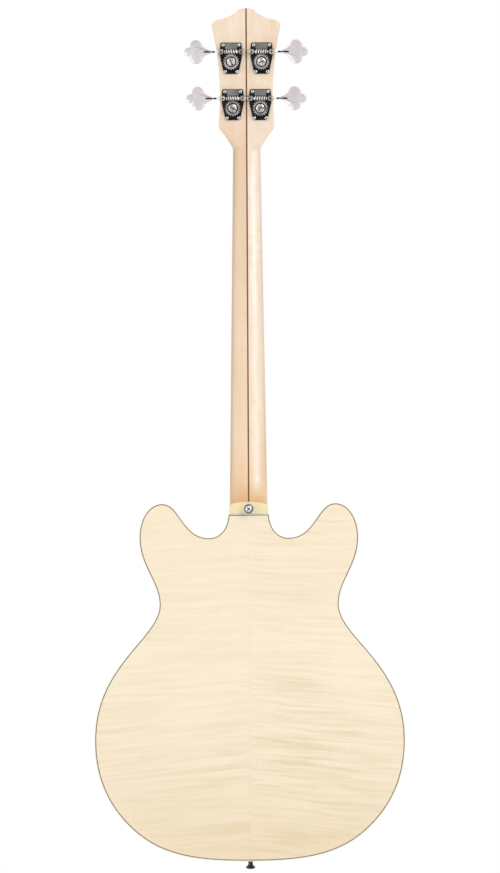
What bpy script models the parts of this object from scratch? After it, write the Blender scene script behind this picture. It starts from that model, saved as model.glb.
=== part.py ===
"""Semi-hollow bass guitar, double cutaway, two plus two open-gear tuners.

The origin is on the centre line at the nut, on the glue plane between neck and fingerboard.
+Z runs up the neck to the headstock, +Y points to the front (strings), -Y to the back, and +X is
the bass side. Seen from the back, +X is on the right. Sizes are in millimetres times MM.
"""

import math

import bmesh
import bpy
from mathutils import Matrix, Vector
from mathutils.geometry import delaunay_2d_cdt

MM = 0.001
GLUE_GAP = 0.1 * MM
SEAT_GAP = 0.3 * MM
FACET_SAG = 0.5 * MM

# Body
BODY_LENGTH = 469.5 * MM
BODY_HALF_WIDTH = 210.0 * MM
BODY_BOTTOM_Z = -969.1 * MM
RIM_TOP_Y = -8.0 * MM
RIM_DEPTH = 44.0 * MM
PLATE_THICKNESS = 5.0 * MM
SIDE_THICKNESS = 3.2 * MM
LINING_WIDTH = 6.0 * MM
LINING_HEIGHT = 12.0 * MM
BINDING_WIDTH = 2.2 * MM
ARCH_RISE = 6.0 * MM
ARCH_RUN = 60.0 * MM
ARCH_MARGIN = 11.0 * MM
BLOCK_HALF_WIDTH = 48.0 * MM
BLOCK_START = 14.0 * MM
BLOCK_END = BODY_LENGTH - 45.5 * MM
CUTAWAY_END_HALF_WIDTH = 28.0 * MM
OUTLINE_ASPECT = 2.2357
SOUND_HOLE_CENTRE = (0.581 * BODY_HALF_WIDTH, 0.524 * BODY_LENGTH)
RIM_BACK_Y = RIM_TOP_Y - RIM_DEPTH
RIM_MID_Y = RIM_TOP_Y - RIM_DEPTH / 2
CROWN_Y = RIM_TOP_Y + ARCH_RISE
JOINT_Z = BODY_BOTTOM_Z + BODY_LENGTH

# Neck
SCALE_LENGTH = 781.0 * MM
NUT_HALF_WIDTH = 19.0 * MM
HEEL_HALF_WIDTH = 26.2 * MM
STRIPE_WIDTH = 2.2 * MM
STRIPE_GAP = 0.05 * MM
NECK_DEPTH_NUT = 15.5 * MM
NECK_DEPTH_HEEL = 18.5 * MM
HEEL_DEPTH = 48.5 * MM
HEEL_CAP_THICKNESS = 3.4 * MM
HEEL_CAP_LENGTH = 16.0 * MM
TENON_LENGTH = 62.0 * MM
TENON_HALF_WIDTH = 18.0 * MM
TENON_DEPTH = 45.6 * MM
TONGUE_DEPTH = 12.8 * MM
FINGERBOARD_THICKNESS = 6.0 * MM
FINGERBOARD_RADIUS = 305.0 * MM
FRET_COUNT = 21
FRET_HEIGHT = 1.2 * MM
FRET_WIDTH = 2.6 * MM
BOARD_PAST_LAST_FRET = 10.0 * MM
NUT_LENGTH = 5.5 * MM
NUT_HEIGHT = 8.8 * MM
TRUSS_CHANNEL_HALF = 3.2 * MM
TRUSS_CHANNEL_DEPTH = 10.5 * MM
TRUSS_ROD_TOP = 4.2 * MM
TRUSS_NUT_RADIUS = 3.0 * MM

# Headstock, in its own tilted frame: u across, v up along the head, w out of its front face
HEAD_TILT = math.radians(13)
HEAD_THICKNESS = 15.0 * MM
VENEER_THICKNESS = 1.5 * MM
VENEER_START = 6.2 * MM
HEAD_LENGTH = 189.4 * MM
HEAD_BACK_W = -(HEAD_THICKNESS + VENEER_THICKNESS)
TRUSS_POCKET_HALF = 6.5 * MM
TRUSS_POCKET_END = 36.0 * MM

# Strings: bass to treble
STRING_NAMES = ("E", "A", "D", "G")
STRING_DIAMETERS = (2.67 * MM, 2.16 * MM, 1.65 * MM, 1.14 * MM)
NUT_SPACING = 9.7 * MM
BRIDGE_SPACING = 17.5 * MM
STRING_REST_AT_NUT = 7.7 * MM
STRING_REST_AT_SADDLE = 11.1 * MM
WRAP_TURNS = 2.25
WRAP_GAP = 0.5 * MM
BALL_RADIUS = 2.3 * MM

# Tuners: the post of each string in head coordinates, and which side its key points to
TUNER_SPOTS = {
    "E": (18.7 * MM, 57.0 * MM, 1),
    "A": (20.6 * MM, 119.1 * MM, 1),
    "D": (-20.6 * MM, 119.1 * MM, -1),
    "G": (-18.7 * MM, 57.0 * MM, -1),
}
POST_RADIUS = 5.0 * MM
POST_WAIST_RADIUS = 4.0 * MM
POST_WAIST_START = 3.0 * MM
POST_WAIST_END = 14.2 * MM
POST_TOP = 18.0 * MM
POST_SLOT_WIDTH = 2.9 * MM
BUSHING_RADIUS = 8.0 * MM
BUSHING_HEIGHT = 2.4 * MM
POST_CLEARANCE = 0.3 * MM
TUNER_PLATE_THICKNESS = 1.6 * MM
GEAR_TEETH = 20
GEAR_PITCH_RADIUS = 10.3 * MM
GEAR_TIP = 0.7 * MM
GEAR_ROOT = 0.9 * MM
GEAR_THICKNESS = 3.2 * MM
GEAR_CAP_RADIUS = 7.6 * MM
GEAR_CAP_HEIGHT = 1.6 * MM
WORM_PITCH_RADIUS = 2.9 * MM
WORM_TURNS = 5
WORM_STEPS = 8
MESH_BACKLASH = 0.3 * MM
SHAFT_RADIUS = 2.2 * MM
LUG_INNER = 10.8 * MM
LUG_OUTER = 16.6 * MM
KEY_THICKNESS = 2.4 * MM
KEY_CENTRE = 50.5 * MM

WORM_PITCH = 2 * math.pi * GEAR_PITCH_RADIUS / GEAR_TEETH
GEAR_TO_WORM = GEAR_PITCH_RADIUS + WORM_PITCH_RADIUS
WORM_TIP_RADIUS = WORM_PITCH_RADIUS + GEAR_TIP
WORM_ROOT_RADIUS = WORM_PITCH_RADIUS - GEAR_ROOT
PLATE_TOP_W = HEAD_BACK_W - GLUE_GAP - TUNER_PLATE_THICKNESS
GEAR_MID_W = PLATE_TOP_W - WORM_TIP_RADIUS - 0.5 * MM

# Bridge
BRIDGE_HALF_WIDTH = 38.0 * MM
BRIDGE_PLATE_THICKNESS = 2.5 * MM
BRIDGE_FRONT = 13.0 * MM
BRIDGE_BACK = 47.0 * MM
BRIDGE_WALL_THICKNESS = 3.0 * MM
BRIDGE_WALL_TOP = 12.5 * MM
SADDLE_HALF_WIDTH = 7.6 * MM
SADDLE_FRONT = 5.0 * MM
SADDLE_BACK = 9.0 * MM
SADDLE_TRAVEL = 5.0 * MM
SCREW_RADIUS = 1.4 * MM
SCREW_Y = 4.4 * MM
SCREW_HEAD_RADIUS = 2.2 * MM
STRING_ANCHOR_Y = 9.6 * MM

# Pickups: one just past the neck, one between it and the bridge
PICKUP_HALF_WIDTH = 45.0 * MM
PICKUP_HALF_LENGTH = 16.5 * MM
PICKUP_TOP_Y = 6.0 * MM
PICKUP_DEPTH = 22.0 * MM
PICKUP_CLEARANCE = 0.3 * MM
RING_BORDER = 6.0 * MM
RING_THICKNESS = 4.0 * MM
POLE_RADIUS = 2.6 * MM
POLE_HEIGHT = 0.8 * MM
NECK_TO_RING = 3.0 * MM
BRIDGE_TO_RING = 17.0 * MM
BOARD_END_Z = -SCALE_LENGTH * (1 - 2 ** (-FRET_COUNT / 12)) - BOARD_PAST_LAST_FRET
RING_HALF_LENGTH = PICKUP_HALF_LENGTH + RING_BORDER
NECK_PICKUP_Z = min(JOINT_Z - TENON_LENGTH, BOARD_END_Z) - NECK_TO_RING - RING_HALF_LENGTH
BRIDGE_PICKUP_Z = -SCALE_LENGTH + BRIDGE_FRONT + BRIDGE_TO_RING + RING_HALF_LENGTH

# Controls on the treble side of the top: the first knob, and the steps to its neighbours
KNOB_FIRST = (-0.4 * BODY_HALF_WIDTH, BODY_BOTTOM_Z + 0.2087 * BODY_LENGTH)
KNOB_STEP_OUT = (-0.2 * BODY_HALF_WIDTH, 0.0213 * BODY_LENGTH)
KNOB_STEP_UP = (-0.0381 * BODY_HALF_WIDTH, 0.1065 * BODY_LENGTH)
KNOB_RADIUS = 12.0 * MM
KNOB_HEIGHT = 15.0 * MM
KNOB_FLOAT = 1.0 * MM
POT_RADIUS = 12.0 * MM
POT_SHAFT_RADIUS = 3.0 * MM
POT_BUSHING_RADIUS = 4.6 * MM
POT_DEPTH = 10.0 * MM
SWITCH_SPOT = (-0.419 * BODY_HALF_WIDTH, BODY_BOTTOM_Z + 0.8179 * BODY_LENGTH)
SWITCH_BUSHING_RADIUS = 5.8 * MM
SWITCH_NUT_RADIUS = 8.5 * MM
SWITCH_HEIGHT = 21.0 * MM
JACK_SPOT = (-0.7857 * BODY_HALF_WIDTH, BODY_BOTTOM_Z + 0.2641 * BODY_LENGTH)
JACK_BORE_RADIUS = 3.25 * MM
JACK_SLEEVE_RADIUS = 4.8 * MM
JACK_NUT_RADIUS = 9.0 * MM
JACK_NUT_THICKNESS = 2.4 * MM
JACK_DEPTH = 24.0 * MM

# Strap buttons
BUTTON_LENGTH = 14.0 * MM
BUTTON_FLANGE_RADIUS = 6.4 * MM
BUTTON_NECK_RADIUS = 3.2 * MM
HEEL_BUTTON_Z = JOINT_Z + 7.0 * MM


def clear_scene():
    for obj in list(bpy.data.objects):
        bpy.data.objects.remove(obj)


def make_material(name, colour, roughness, metallic=0.0):
    material = bpy.data.materials.new(name)
    material.use_nodes = True
    shader = material.node_tree.nodes["Principled BSDF"]
    shader.inputs["Base Color"].default_value = (*colour, 1)
    shader.inputs["Roughness"].default_value = roughness
    shader.inputs["Metallic"].default_value = metallic
    return material


def head_matrix():
    """World matrix of the headstock frame: columns u, v, w are across, up the head and out of its face."""
    up = Vector((0, -math.sin(HEAD_TILT), math.cos(HEAD_TILT)))
    out = Vector((0, math.cos(HEAD_TILT), math.sin(HEAD_TILT)))
    across = Vector((1, 0, 0))
    return Matrix((across, up, out)).transposed().to_4x4()


def body_matrix():
    """World matrix of the body frame: u across, v up the body from its bottom edge, w to the front."""
    columns = Matrix(((1, 0, 0), (0, 0, 1), (0, 1, 0))).transposed().to_4x4()
    return Matrix.Translation((0, 0, BODY_BOTTOM_Z)) @ columns


def add_object(name, verts, faces, material, matrix=None, sharp_angle=35):
    """A mesh object with its faces turned outwards; a hidden one, with no material, is a cutter."""
    matrix = matrix or Matrix.Identity(4)
    mesh = bpy.data.meshes.new(name)
    mesh.from_pydata([matrix @ Vector(v) for v in verts], [], faces)
    bm = bmesh.new()
    bm.from_mesh(mesh)
    bmesh.ops.remove_doubles(bm, verts=bm.verts, dist=1e-6)
    bmesh.ops.dissolve_degenerate(bm, edges=bm.edges, dist=1e-6)
    bmesh.ops.recalc_face_normals(bm, faces=bm.faces)
    bm.to_mesh(mesh)
    bm.free()
    obj = bpy.data.objects.new(name, mesh)
    bpy.context.scene.collection.objects.link(obj)
    if material is None:
        obj.hide_render = True
        obj.display_type = "WIRE"
        return obj
    mesh.materials.append(material)
    mesh.shade_smooth()
    mesh.set_sharp_from_angle(angle=math.radians(sharp_angle))
    return obj


def combine(obj, operand, operation):
    modifier = obj.modifiers.new(operation.lower(), "BOOLEAN")
    modifier.object = operand
    modifier.operation = operation
    modifier.solver = "EXACT"


def set_origin(obj, point):
    """Moves the object's origin onto its joint's axis and leaves its mesh where it is."""
    shift = Vector(point)
    obj.data.transform(Matrix.Translation(-shift))
    obj.location = shift


def bezier(start, start_handle, end_handle, end, steps):
    """Points of a cubic curve after its start point, up to and with its end point."""
    points = []
    for i in range(1, steps + 1):
        t = i / steps
        s = 1 - t
        weights = (s**3, 3 * s * s * t, 3 * s * t * t, t**3)
        corners = (start, start_handle, end_handle, end)
        points.append(tuple(sum(w * p[k] for w, p in zip(weights, corners)) for k in (0, 1)))
    return points


def curve_chain(keys, steps):
    """A smooth line through keys of (x, y, heading in degrees, handle before, handle after)."""
    points = [(keys[0][0], keys[0][1])]
    for i in range(len(keys) - 1):
        x0, y0, a0, _, after = keys[i]
        x1, y1, a1, before, _ = keys[i + 1]
        a0, a1 = math.radians(a0), math.radians(a1)
        start_handle = (x0 + after * math.cos(a0), y0 + after * math.sin(a0))
        end_handle = (x1 - before * math.cos(a1), y1 - before * math.sin(a1))
        points += bezier((x0, y0), start_handle, end_handle, (x1, y1), steps[i])
    return points


def body_half_outline(density=1):
    """Bass half of the body's outline in body coordinates, from the bottom centre to the heel corner.

    The keys are in shares of the half width, and the aspect is the body's length in those shares.
    """
    end = CUTAWAY_END_HALF_WIDTH / BODY_HALF_WIDTH
    keys = [
        (0, 0, 0, 0, 0.3429),
        (0.7467, 0.1962, 42, 0.2429, 0.2714),
        (1, 0.781, 90, 0.1905, 0.4905),
        (0.58, 1.6524, 90, 0.2095, 0.1476),
        (0.7071, 2.081, 90, 0.181, 0.1381),
        (0.5581, 2.3048, 180, 0.0762, 0.1238),
        (0.2548, 2.0838, 180, 0.1714, 0.0571),
        (end, OUTLINE_ASPECT, 93, 0.1048, 0),
    ]
    points = curve_chain(keys, [n * density for n in (5, 5, 9, 5, 5, 6, 5)])
    return [(x * BODY_HALF_WIDTH, y * BODY_LENGTH / OUTLINE_ASPECT) for x, y in points]


def body_outline(density=1):
    """The closed outline, anticlockwise from the bottom centre."""
    half = body_half_outline(density)
    return half + [(-x, y) for x, y in reversed(half[1:])]


def offset_loop(loop, distance):
    """The closed anticlockwise loop moved inwards, with mitred corners so that its edges stay parallel."""
    moved = []
    for i, (x, y) in enumerate(loop):
        before = Vector(loop[i - 1])
        after = Vector(loop[(i + 1) % len(loop)])
        d0 = (Vector((x, y)) - before).normalized()
        d1 = (after - Vector((x, y))).normalized()
        n0, n1 = Vector((-d0.y, d0.x)), Vector((-d1.y, d1.x))
        miter = (n0 + n1).normalized()
        reach = min(distance / max(miter.dot(n0), 0.5), 2 * distance) if distance else 0
        moved.append((x + miter.x * reach, y + miter.y * reach))
    return moved


def circle(centre, radius, sides, start=0.0):
    turn = 2 * math.pi / sides
    return [
        (centre[0] + radius * math.cos(start + i * turn), centre[1] + radius * math.sin(start + i * turn))
        for i in range(sides)
    ]


def rectangle(x0, x1, y0, y1):
    return [(x0, y0), (x1, y0), (x1, y1), (x0, y1)]


def rounded_rectangle(half_x, half_y, radius, centre=(0, 0), steps=3):
    points = []
    for k, (sx, sy) in enumerate(((1, 1), (-1, 1), (-1, -1), (1, -1))):
        cx, cy = centre[0] + sx * (half_x - radius), centre[1] + sy * (half_y - radius)
        for i in range(steps + 1):
            a = math.pi / 2 * (k + i / steps)
            points.append((cx + radius * math.cos(a), cy + radius * math.sin(a)))
    return points


def triangulate(loops, inner_points=()):
    """Triangles of the area inside the first loop and outside the others, with extra points inside."""
    points, edges = [], []
    for loop in loops:
        start = len(points)
        points += [Vector(p) for p in loop]
        edges += [(start + i, start + (i + 1) % len(loop)) for i in range(len(loop))]
    points += [Vector(p) for p in inner_points]
    made = delaunay_2d_cdt(points, edges, [], 0, 1e-7)
    flat, faces = made[0], made[2]
    kept = []
    for face in faces:
        middle = sum((flat[i] for i in face), Vector((0, 0))) / len(face)
        if inside(middle, loops[0]) and not any(inside(middle, hole) for hole in loops[1:]):
            kept.append(tuple(face))
    return [tuple(p) for p in flat], kept


def inside(point, loop):
    x, y = point
    odd = False
    for i, (x1, y1) in enumerate(loop):
        x0, y0 = loop[i - 1]
        if (y0 > y) != (y1 > y) and x < x0 + (y - y0) * (x1 - x0) / (y1 - y0):
            odd = not odd
    return odd


def slab(loops, low, high, inner_points=()):
    """Vertices and faces of a flat or curved slab; low and high are heights or functions of (u, v)."""
    flat, faces = triangulate(loops, inner_points)
    used = sorted({i for face in faces for i in face})
    place = {old: new for new, old in enumerate(used)}
    count = len(used)

    def height(level, p):
        return level(*p) if callable(level) else level

    verts = [(*flat[i], height(low, flat[i])) for i in used]
    verts += [(*flat[i], height(high, flat[i])) for i in used]
    bottom = [tuple(place[i] for i in face) for face in faces]
    top = [tuple(i + count for i in face) for face in bottom]
    seen = {}
    for face in bottom:
        for a, b in zip(face, face[1:] + face[:1]):
            seen[frozenset((a, b))] = seen.get(frozenset((a, b)), 0) + 1
    walls = [(*edge, ) for edge, uses in seen.items() if uses == 1]
    sides = [(a, b, b + count, a + count) for a, b in walls]
    return verts, bottom + top + sides


def turned(profile, sides, axis_origin=(0, 0, 0), start=0.0):
    """A solid of revolution about w from a closed profile of (radius, w), listed once round."""
    verts, faces = [], []
    for i in range(sides):
        a = start + 2 * math.pi * i / sides
        for r, w in profile:
            verts.append((axis_origin[0] + r * math.cos(a), axis_origin[1] + r * math.sin(a), axis_origin[2] + w))
    n = len(profile)
    for i in range(sides):
        j = (i + 1) % sides
        for k in range(n):
            m = (k + 1) % n
            if profile[k][0] == 0 and profile[m][0] == 0:
                continue
            faces.append((i * n + k, j * n + k, j * n + m, i * n + m))
    return verts, faces


def lofted_faces(rings, points):
    """Faces of a loft through rings of equally many points, with both ends closed."""
    faces = [
        (r * points + k, r * points + (k + 1) % points, (r + 1) * points + (k + 1) % points, (r + 1) * points + k)
        for r in range(rings - 1)
        for k in range(points)
    ]
    last = (rings - 1) * points
    return faces + [tuple(range(points)), tuple(last + k for k in range(points))]


def joined(*shapes):
    """Several (verts, faces) shapes as one."""
    verts, faces = [], []
    for more_verts, more_faces in shapes:
        start = len(verts)
        verts += list(more_verts)
        faces += [tuple(i + start for i in face) for face in more_faces]
    return verts, faces


def moved(shape, matrix):
    return [tuple(matrix @ Vector(v)) for v in shape[0]], shape[1]


def box(x0, x1, y0, y1, z0, z1):
    return slab([rectangle(x0, x1, y0, y1)], z0, z1)


def tube(points, radii, sides):
    """A closed tube along points, with a radius at each, its rings carried along without twist."""
    points = [Vector(p) for p in points]
    verts, faces = [], []
    side = None
    for i, p in enumerate(points):
        ahead = points[min(i + 1, len(points) - 1)] - points[max(i - 1, 0)]
        ahead.normalize()
        if side is None:
            side = ahead.orthogonal().normalized()
        side = (side - ahead * side.dot(ahead)).normalized()
        other = ahead.cross(side)
        for k in range(sides):
            a = 2 * math.pi * k / sides
            verts.append(tuple(p + (side * math.cos(a) + other * math.sin(a)) * radii[i]))
    for i in range(len(points) - 1):
        for k in range(sides):
            m = (k + 1) % sides
            faces.append((i * sides + k, i * sides + m, (i + 1) * sides + m, (i + 1) * sides + k))
    faces.append(tuple(range(sides - 1, -1, -1)))
    last = (len(points) - 1) * sides
    faces.append(tuple(last + k for k in range(sides)))
    return verts, faces


clear_scene()
HEAD = head_matrix()
BODY = body_matrix()
OUTLINE = body_outline()
FINE_OUTLINE = [Vector(p) for p in body_outline(6)]

FLAMED_MAPLE = make_material("flamed_maple", (0.87, 0.74, 0.55), 0.25)
NECK_MAPLE = make_material("neck_maple", (0.83, 0.62, 0.42), 0.3)
WALNUT = make_material("walnut", (0.2, 0.12, 0.07), 0.4)
SPRUCE = make_material("block_wood", (0.72, 0.55, 0.36), 0.7)
IVORY = make_material("ivory_plastic", (0.93, 0.88, 0.72), 0.3)
CAP_CREAM = make_material("heel_cap_cream", (0.85, 0.73, 0.45), 0.35)
ROSEWOOD = make_material("rosewood", (0.07, 0.035, 0.02), 0.5)
BONE = make_material("bone", (0.88, 0.83, 0.7), 0.35)
BLACK = make_material("black_gloss", (0.015, 0.015, 0.015), 0.2)
CHROME = make_material("chrome", (0.8, 0.8, 0.82), 0.12, 1.0)
NICKEL = make_material("aged_nickel", (0.45, 0.44, 0.42), 0.3, 1.0)
STEEL = make_material("steel", (0.5, 0.5, 0.52), 0.4, 1.0)
STRING_STEEL = make_material("string_steel", (0.62, 0.6, 0.56), 0.35, 1.0)


def edge_distance(u, v):
    """Softened distance to the outline: the whole edge pulls, so that the arch has no ridge."""
    total = 0.0
    for i, p in enumerate(FINE_OUTLINE):
        step = (FINE_OUTLINE[(i + 1) % len(FINE_OUTLINE)] - p).length
        gap = max(math.hypot(u - p.x, v - p.y), 0.5 * MM)
        total += step / gap**4
    return (2 / math.pi * total) ** (-1 / 3)


def arch(u, v):
    """Rise of an arched plate above its flat rim."""
    t = min(max((edge_distance(u, v) - ARCH_MARGIN) / ARCH_RUN, 0), 1)
    return ARCH_RISE * (1 - (1 - t) ** 2)


def top_surface(x, z, radius):
    """Lowest and highest level of the top's outer face on a circle round a place of the body."""
    around = [circle(to_body(x, z), radius, 12)[i] for i in range(12)]
    levels = [RIM_TOP_Y + arch(u, v) for u, v in [to_body(x, z), *around]]
    return min(levels), max(levels)


def divided(loop, step):
    """The closed loop with extra points, so that no edge is longer than a step."""
    points = []
    for i, (x1, y1) in enumerate(loop):
        x0, y0 = loop[i - 1]
        parts = max(math.ceil(math.hypot(x1 - x0, y1 - y0) / step - 1e-6), 1)
        points += [(x0 + (x1 - x0) * k / parts, y0 + (y1 - y0) * k / parts) for k in range(1, parts + 1)]
    return points


def arch_points(loop, holes, step):
    """Points on a staggered grid inside the loop, clear of the edges and holes."""
    points = []
    row_height = step * math.sqrt(3) / 2
    rows = int(BODY_LENGTH * 1.05 / row_height)
    columns = int(BODY_HALF_WIDTH / step) + 1
    for r in range(1, rows + 1):
        shift = step / 2 if r % 2 else 0
        for c in range(-columns, columns + 1):
            p = (c * step + shift, r * row_height)
            clear = all(min(math.dist(p, q) for q in hole) > step * 0.55 for hole in holes)
            if inside(p, loop) and clear and min(math.dist(p, q) for q in loop) > step * 0.5:
                if not any(inside(p, hole) for hole in holes):
                    points.append(p)
    return points


def f_hole(side):
    """One sound hole: a slanting S with a round eye at each end, in body coordinates."""
    keys_mm = [
        (-6.5, 58, 180, 0, 5),
        (-15, 50, 270, 5, 5),
        (-8.5, 43.5, 0, 4, 4),
        (-3.5, 48.5, 75, 4, 3),
        (-1.5, 51.5, 0, 2.5, 2),
        (2, 42, 262, 6, 14),
        (-7.5, 0, 262, 16, 20),
        (-4, -50, 300, 16, 6),
        (6.5, -58, 0, 8, 5),
    ]
    half = curve_chain([(x * MM, y * MM, a, b * MM, c * MM) for x, y, a, b, c in keys_mm], (2, 2, 2, 1, 2, 3, 3, 2))
    loop = half[:-1] + [(-x, -y) for x, y in half[:-1]]
    slant = math.radians(-8)
    centre = SOUND_HOLE_CENTRE
    placed = []
    for x, y in loop:
        u = x * math.cos(slant) - y * math.sin(slant)
        v = x * math.sin(slant) + y * math.cos(slant)
        placed.append((side * (centre[0] + u), centre[1] + v))
    return placed if side > 0 else placed[::-1]


def knob_spots():
    """Body-plane places (x, z) of the four knobs."""
    return [
        (
            KNOB_FIRST[0] + out * KNOB_STEP_OUT[0] + up * KNOB_STEP_UP[0],
            KNOB_FIRST[1] + out * KNOB_STEP_OUT[1] + up * KNOB_STEP_UP[1],
        )
        for up in (0, 1)
        for out in (0, 1)
    ]


def to_body(x, z):
    return (x, z - BODY_BOTTOM_Z)


def string_x(index, z):
    """Sideways place of a string at a height z between nut and saddle."""
    offset = 1.5 - index
    t = -z / SCALE_LENGTH
    return offset * (NUT_SPACING + (BRIDGE_SPACING - NUT_SPACING) * t)


def neck_half_width(z):
    return NUT_HALF_WIDTH + (HEEL_HALF_WIDTH - NUT_HALF_WIDTH) * z / JOINT_Z


def fret_distance(n):
    return SCALE_LENGTH * (1 - 2 ** (-n / 12))


def plate_layouts():
    """Loops and inner points of the top, with all its holes, and of the back, in body coordinates."""
    loop = offset_loop(OUTLINE, BINDING_WIDTH + GLUE_GAP)
    margin = offset_loop(OUTLINE, BINDING_WIDTH + ARCH_MARGIN)[::2]
    pickup_holes = [
        rounded_rectangle(
            PICKUP_HALF_WIDTH + PICKUP_CLEARANCE,
            PICKUP_HALF_LENGTH + PICKUP_CLEARANCE,
            4 * MM,
            to_body(0, z),
            2,
        )
        for z in (NECK_PICKUP_Z, BRIDGE_PICKUP_Z)
    ]
    pot_holes = [circle(to_body(*spot), POT_BUSHING_RADIUS + 0.5 * MM, 12) for spot in knob_spots()]
    switch_hole = circle(to_body(*SWITCH_SPOT), SWITCH_BUSHING_RADIUS + 0.5 * MM, 12)
    holes = [f_hole(1), f_hole(-1), *pickup_holes, *pot_holes, switch_hole]
    jack_hole = circle(to_body(*JACK_SPOT), JACK_SLEEVE_RADIUS + 0.5 * MM, 12)
    holes.append(jack_hole)
    spots = [(spot, POT_RADIUS) for spot in knob_spots()]
    spots += [(SWITCH_SPOT, SWITCH_NUT_RADIUS), (JACK_SPOT, JACK_NUT_RADIUS)]
    rounds = [circle(to_body(*spot), radius + 2 * MM, 9, 0.2) for spot, radius in spots]
    kept_true = [p for ring in rounds for p in ring]
    top = ([loop, *holes], margin + kept_true + arch_points(margin, holes + rounds, 31 * MM))
    back = ([loop], margin + arch_points(margin, [], 31 * MM))
    return top, back


def make_plates(layouts):
    (top_loops, top_points), (back_loops, back_points) = layouts
    top = slab(
        top_loops,
        lambda u, v: RIM_TOP_Y - PLATE_THICKNESS + arch(u, v),
        lambda u, v: RIM_TOP_Y + arch(u, v),
        top_points,
    )
    back = slab(
        back_loops,
        lambda u, v: RIM_BACK_Y - arch(u, v),
        lambda u, v: RIM_BACK_Y + PLATE_THICKNESS - arch(u, v),
        back_points,
    )
    add_object("back_plate", *back, FLAMED_MAPLE, BODY)
    return add_object("top_plate", *top, FLAMED_MAPLE, BODY)


def ring_band(outer, inner, low, high):
    """A closed band between two loops of equal count."""
    return slab([outer, inner], low, high)


def make_bindings():
    inner = offset_loop(OUTLINE, BINDING_WIDTH)
    top = ring_band(OUTLINE, inner, RIM_TOP_Y - PLATE_THICKNESS, RIM_TOP_Y)
    back = ring_band(OUTLINE, inner, RIM_BACK_Y, RIM_BACK_Y + PLATE_THICKNESS)
    add_object("binding_back", *back, IVORY, BODY)
    return add_object("binding_top", *top, IVORY, BODY)


def make_sides():
    """Bent side of each half, with its kerfed linings as the wedge at both glue edges."""
    low = RIM_BACK_Y + PLATE_THICKNESS + GLUE_GAP
    high = RIM_TOP_Y - PLATE_THICKNESS - GLUE_GAP
    wall = offset_loop(OUTLINE, SIDE_THICKNESS)
    ledge = offset_loop(OUTLINE, SIDE_THICKNESS + LINING_WIDTH)
    half_count = len(body_half_outline())
    for name, indices in (
        ("side_bass", range(half_count)),
        ("side_treble", [0, *range(len(OUTLINE) - 1, half_count - 1, -1)]),
    ):
        verts = []
        for i in indices:
            section = (
                (OUTLINE[i], low),
                (OUTLINE[i], high),
                (ledge[i], high),
                (wall[i], high - LINING_HEIGHT),
                (wall[i], low + LINING_HEIGHT),
                (ledge[i], low),
            )
            side = 1 if name == "side_bass" else -1
            for (x, y), w in section:
                if i == 0:
                    x = side * GLUE_GAP / 2
                verts.append((x, y, w))
        add_object(name, verts, lofted_faces(len(indices), 6), FLAMED_MAPLE, BODY)


def make_center_block(layouts):
    """Solid block glued to both plates, from the end of the body to the neck joint."""
    loop = rectangle(-BLOCK_HALF_WIDTH, BLOCK_HALF_WIDTH, BLOCK_START, BLOCK_END)
    block = add_object("center_block", *slab([loop], RIM_BACK_Y, RIM_TOP_Y), SPRUCE, BODY)
    (top_loops, top_points), (back_loops, back_points) = layouts
    above = slab(
        top_loops,
        lambda u, v: RIM_TOP_Y - PLATE_THICKNESS - GLUE_GAP + arch(u, v),
        20 * MM,
        top_points,
    )
    below = slab(
        back_loops,
        RIM_BACK_Y - 20 * MM,
        lambda u, v: RIM_BACK_Y + PLATE_THICKNESS + GLUE_GAP - arch(u, v),
        back_points,
    )
    combine(block, add_object("space_above_block", *above, None, BODY), "DIFFERENCE")
    combine(block, add_object("space_below_block", *below, None, BODY), "DIFFERENCE")
    for z in (NECK_PICKUP_Z, BRIDGE_PICKUP_Z):
        v = z - BODY_BOTTOM_Z
        reach_u, reach_v = PICKUP_HALF_WIDTH + 1 * MM, PICKUP_HALF_LENGTH + 2 * MM
        cavity = box(-reach_u, reach_u, v - reach_v, v + reach_v, PICKUP_TOP_Y - PICKUP_DEPTH - 3 * MM, 10 * MM)
        combine(block, add_object("pickup_cavity", *cavity, None, BODY), "DIFFERENCE")
    return block


def joint_cutters():
    """The spaces that the neck takes: its tongue's in the top, and its tenon's in the block."""
    low, high = JOINT_Z - TENON_LENGTH - SEAT_GAP, JOINT_Z + 30 * MM
    half = neck_half_width(JOINT_Z - TENON_LENGTH) + SEAT_GAP
    tongue = box(-half, half, RIM_TOP_Y - PLATE_THICKNESS - GLUE_GAP / 2, 5 * MM, low, high)
    half = TENON_HALF_WIDTH + SEAT_GAP
    tenon = box(-half, half, -TENON_DEPTH - SEAT_GAP, 5 * MM, low, high)
    return add_object("neck_tongue_space", *tongue, None), add_object("neck_tenon_space", *tenon, None)


def head_half_outline():
    """Half of the headstock's outline as (half width, v), from the nut up to the centre of the crown."""
    keys_mm = [
        (NUT_HALF_WIDTH / MM, 0, 68, 0, 9),
        (36.4, 27.6, 47, 9, 2),
        (38.0, 33.5, 92, 3, 12),
        (35.9, 75, 90, 14, 34),
        (46.2, 164.8, 77, 22, 3),
        (43.2, 172.3, 150, 3, 8),
        (22.5, 179.2, 152, 9, 4),
        (11.6, 186.6, 125, 4, 3),
        (0, HEAD_LENGTH / MM, 180, 6, 0),
    ]
    keys = [(x * MM, y * MM, a, b * MM, c * MM) for x, y, a, b, c in keys_mm]
    return curve_chain(keys, (5, 2, 3, 6, 2, 3, 3, 3))


def tenon_rim(z):
    """Half of the tenon's section: full width in its tongue and narrow below it."""
    inner, wide, narrow = STRIPE_WIDTH / 2 + STRIPE_GAP, neck_half_width(z), TENON_HALF_WIDTH
    corners = [(inner, -GLUE_GAP), (wide, -GLUE_GAP), (wide, -TONGUE_DEPTH), (narrow, -TONGUE_DEPTH)]
    return corners + [(narrow, -TENON_DEPTH / 2), (narrow, -TENON_DEPTH), (inner, -TENON_DEPTH)]


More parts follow.
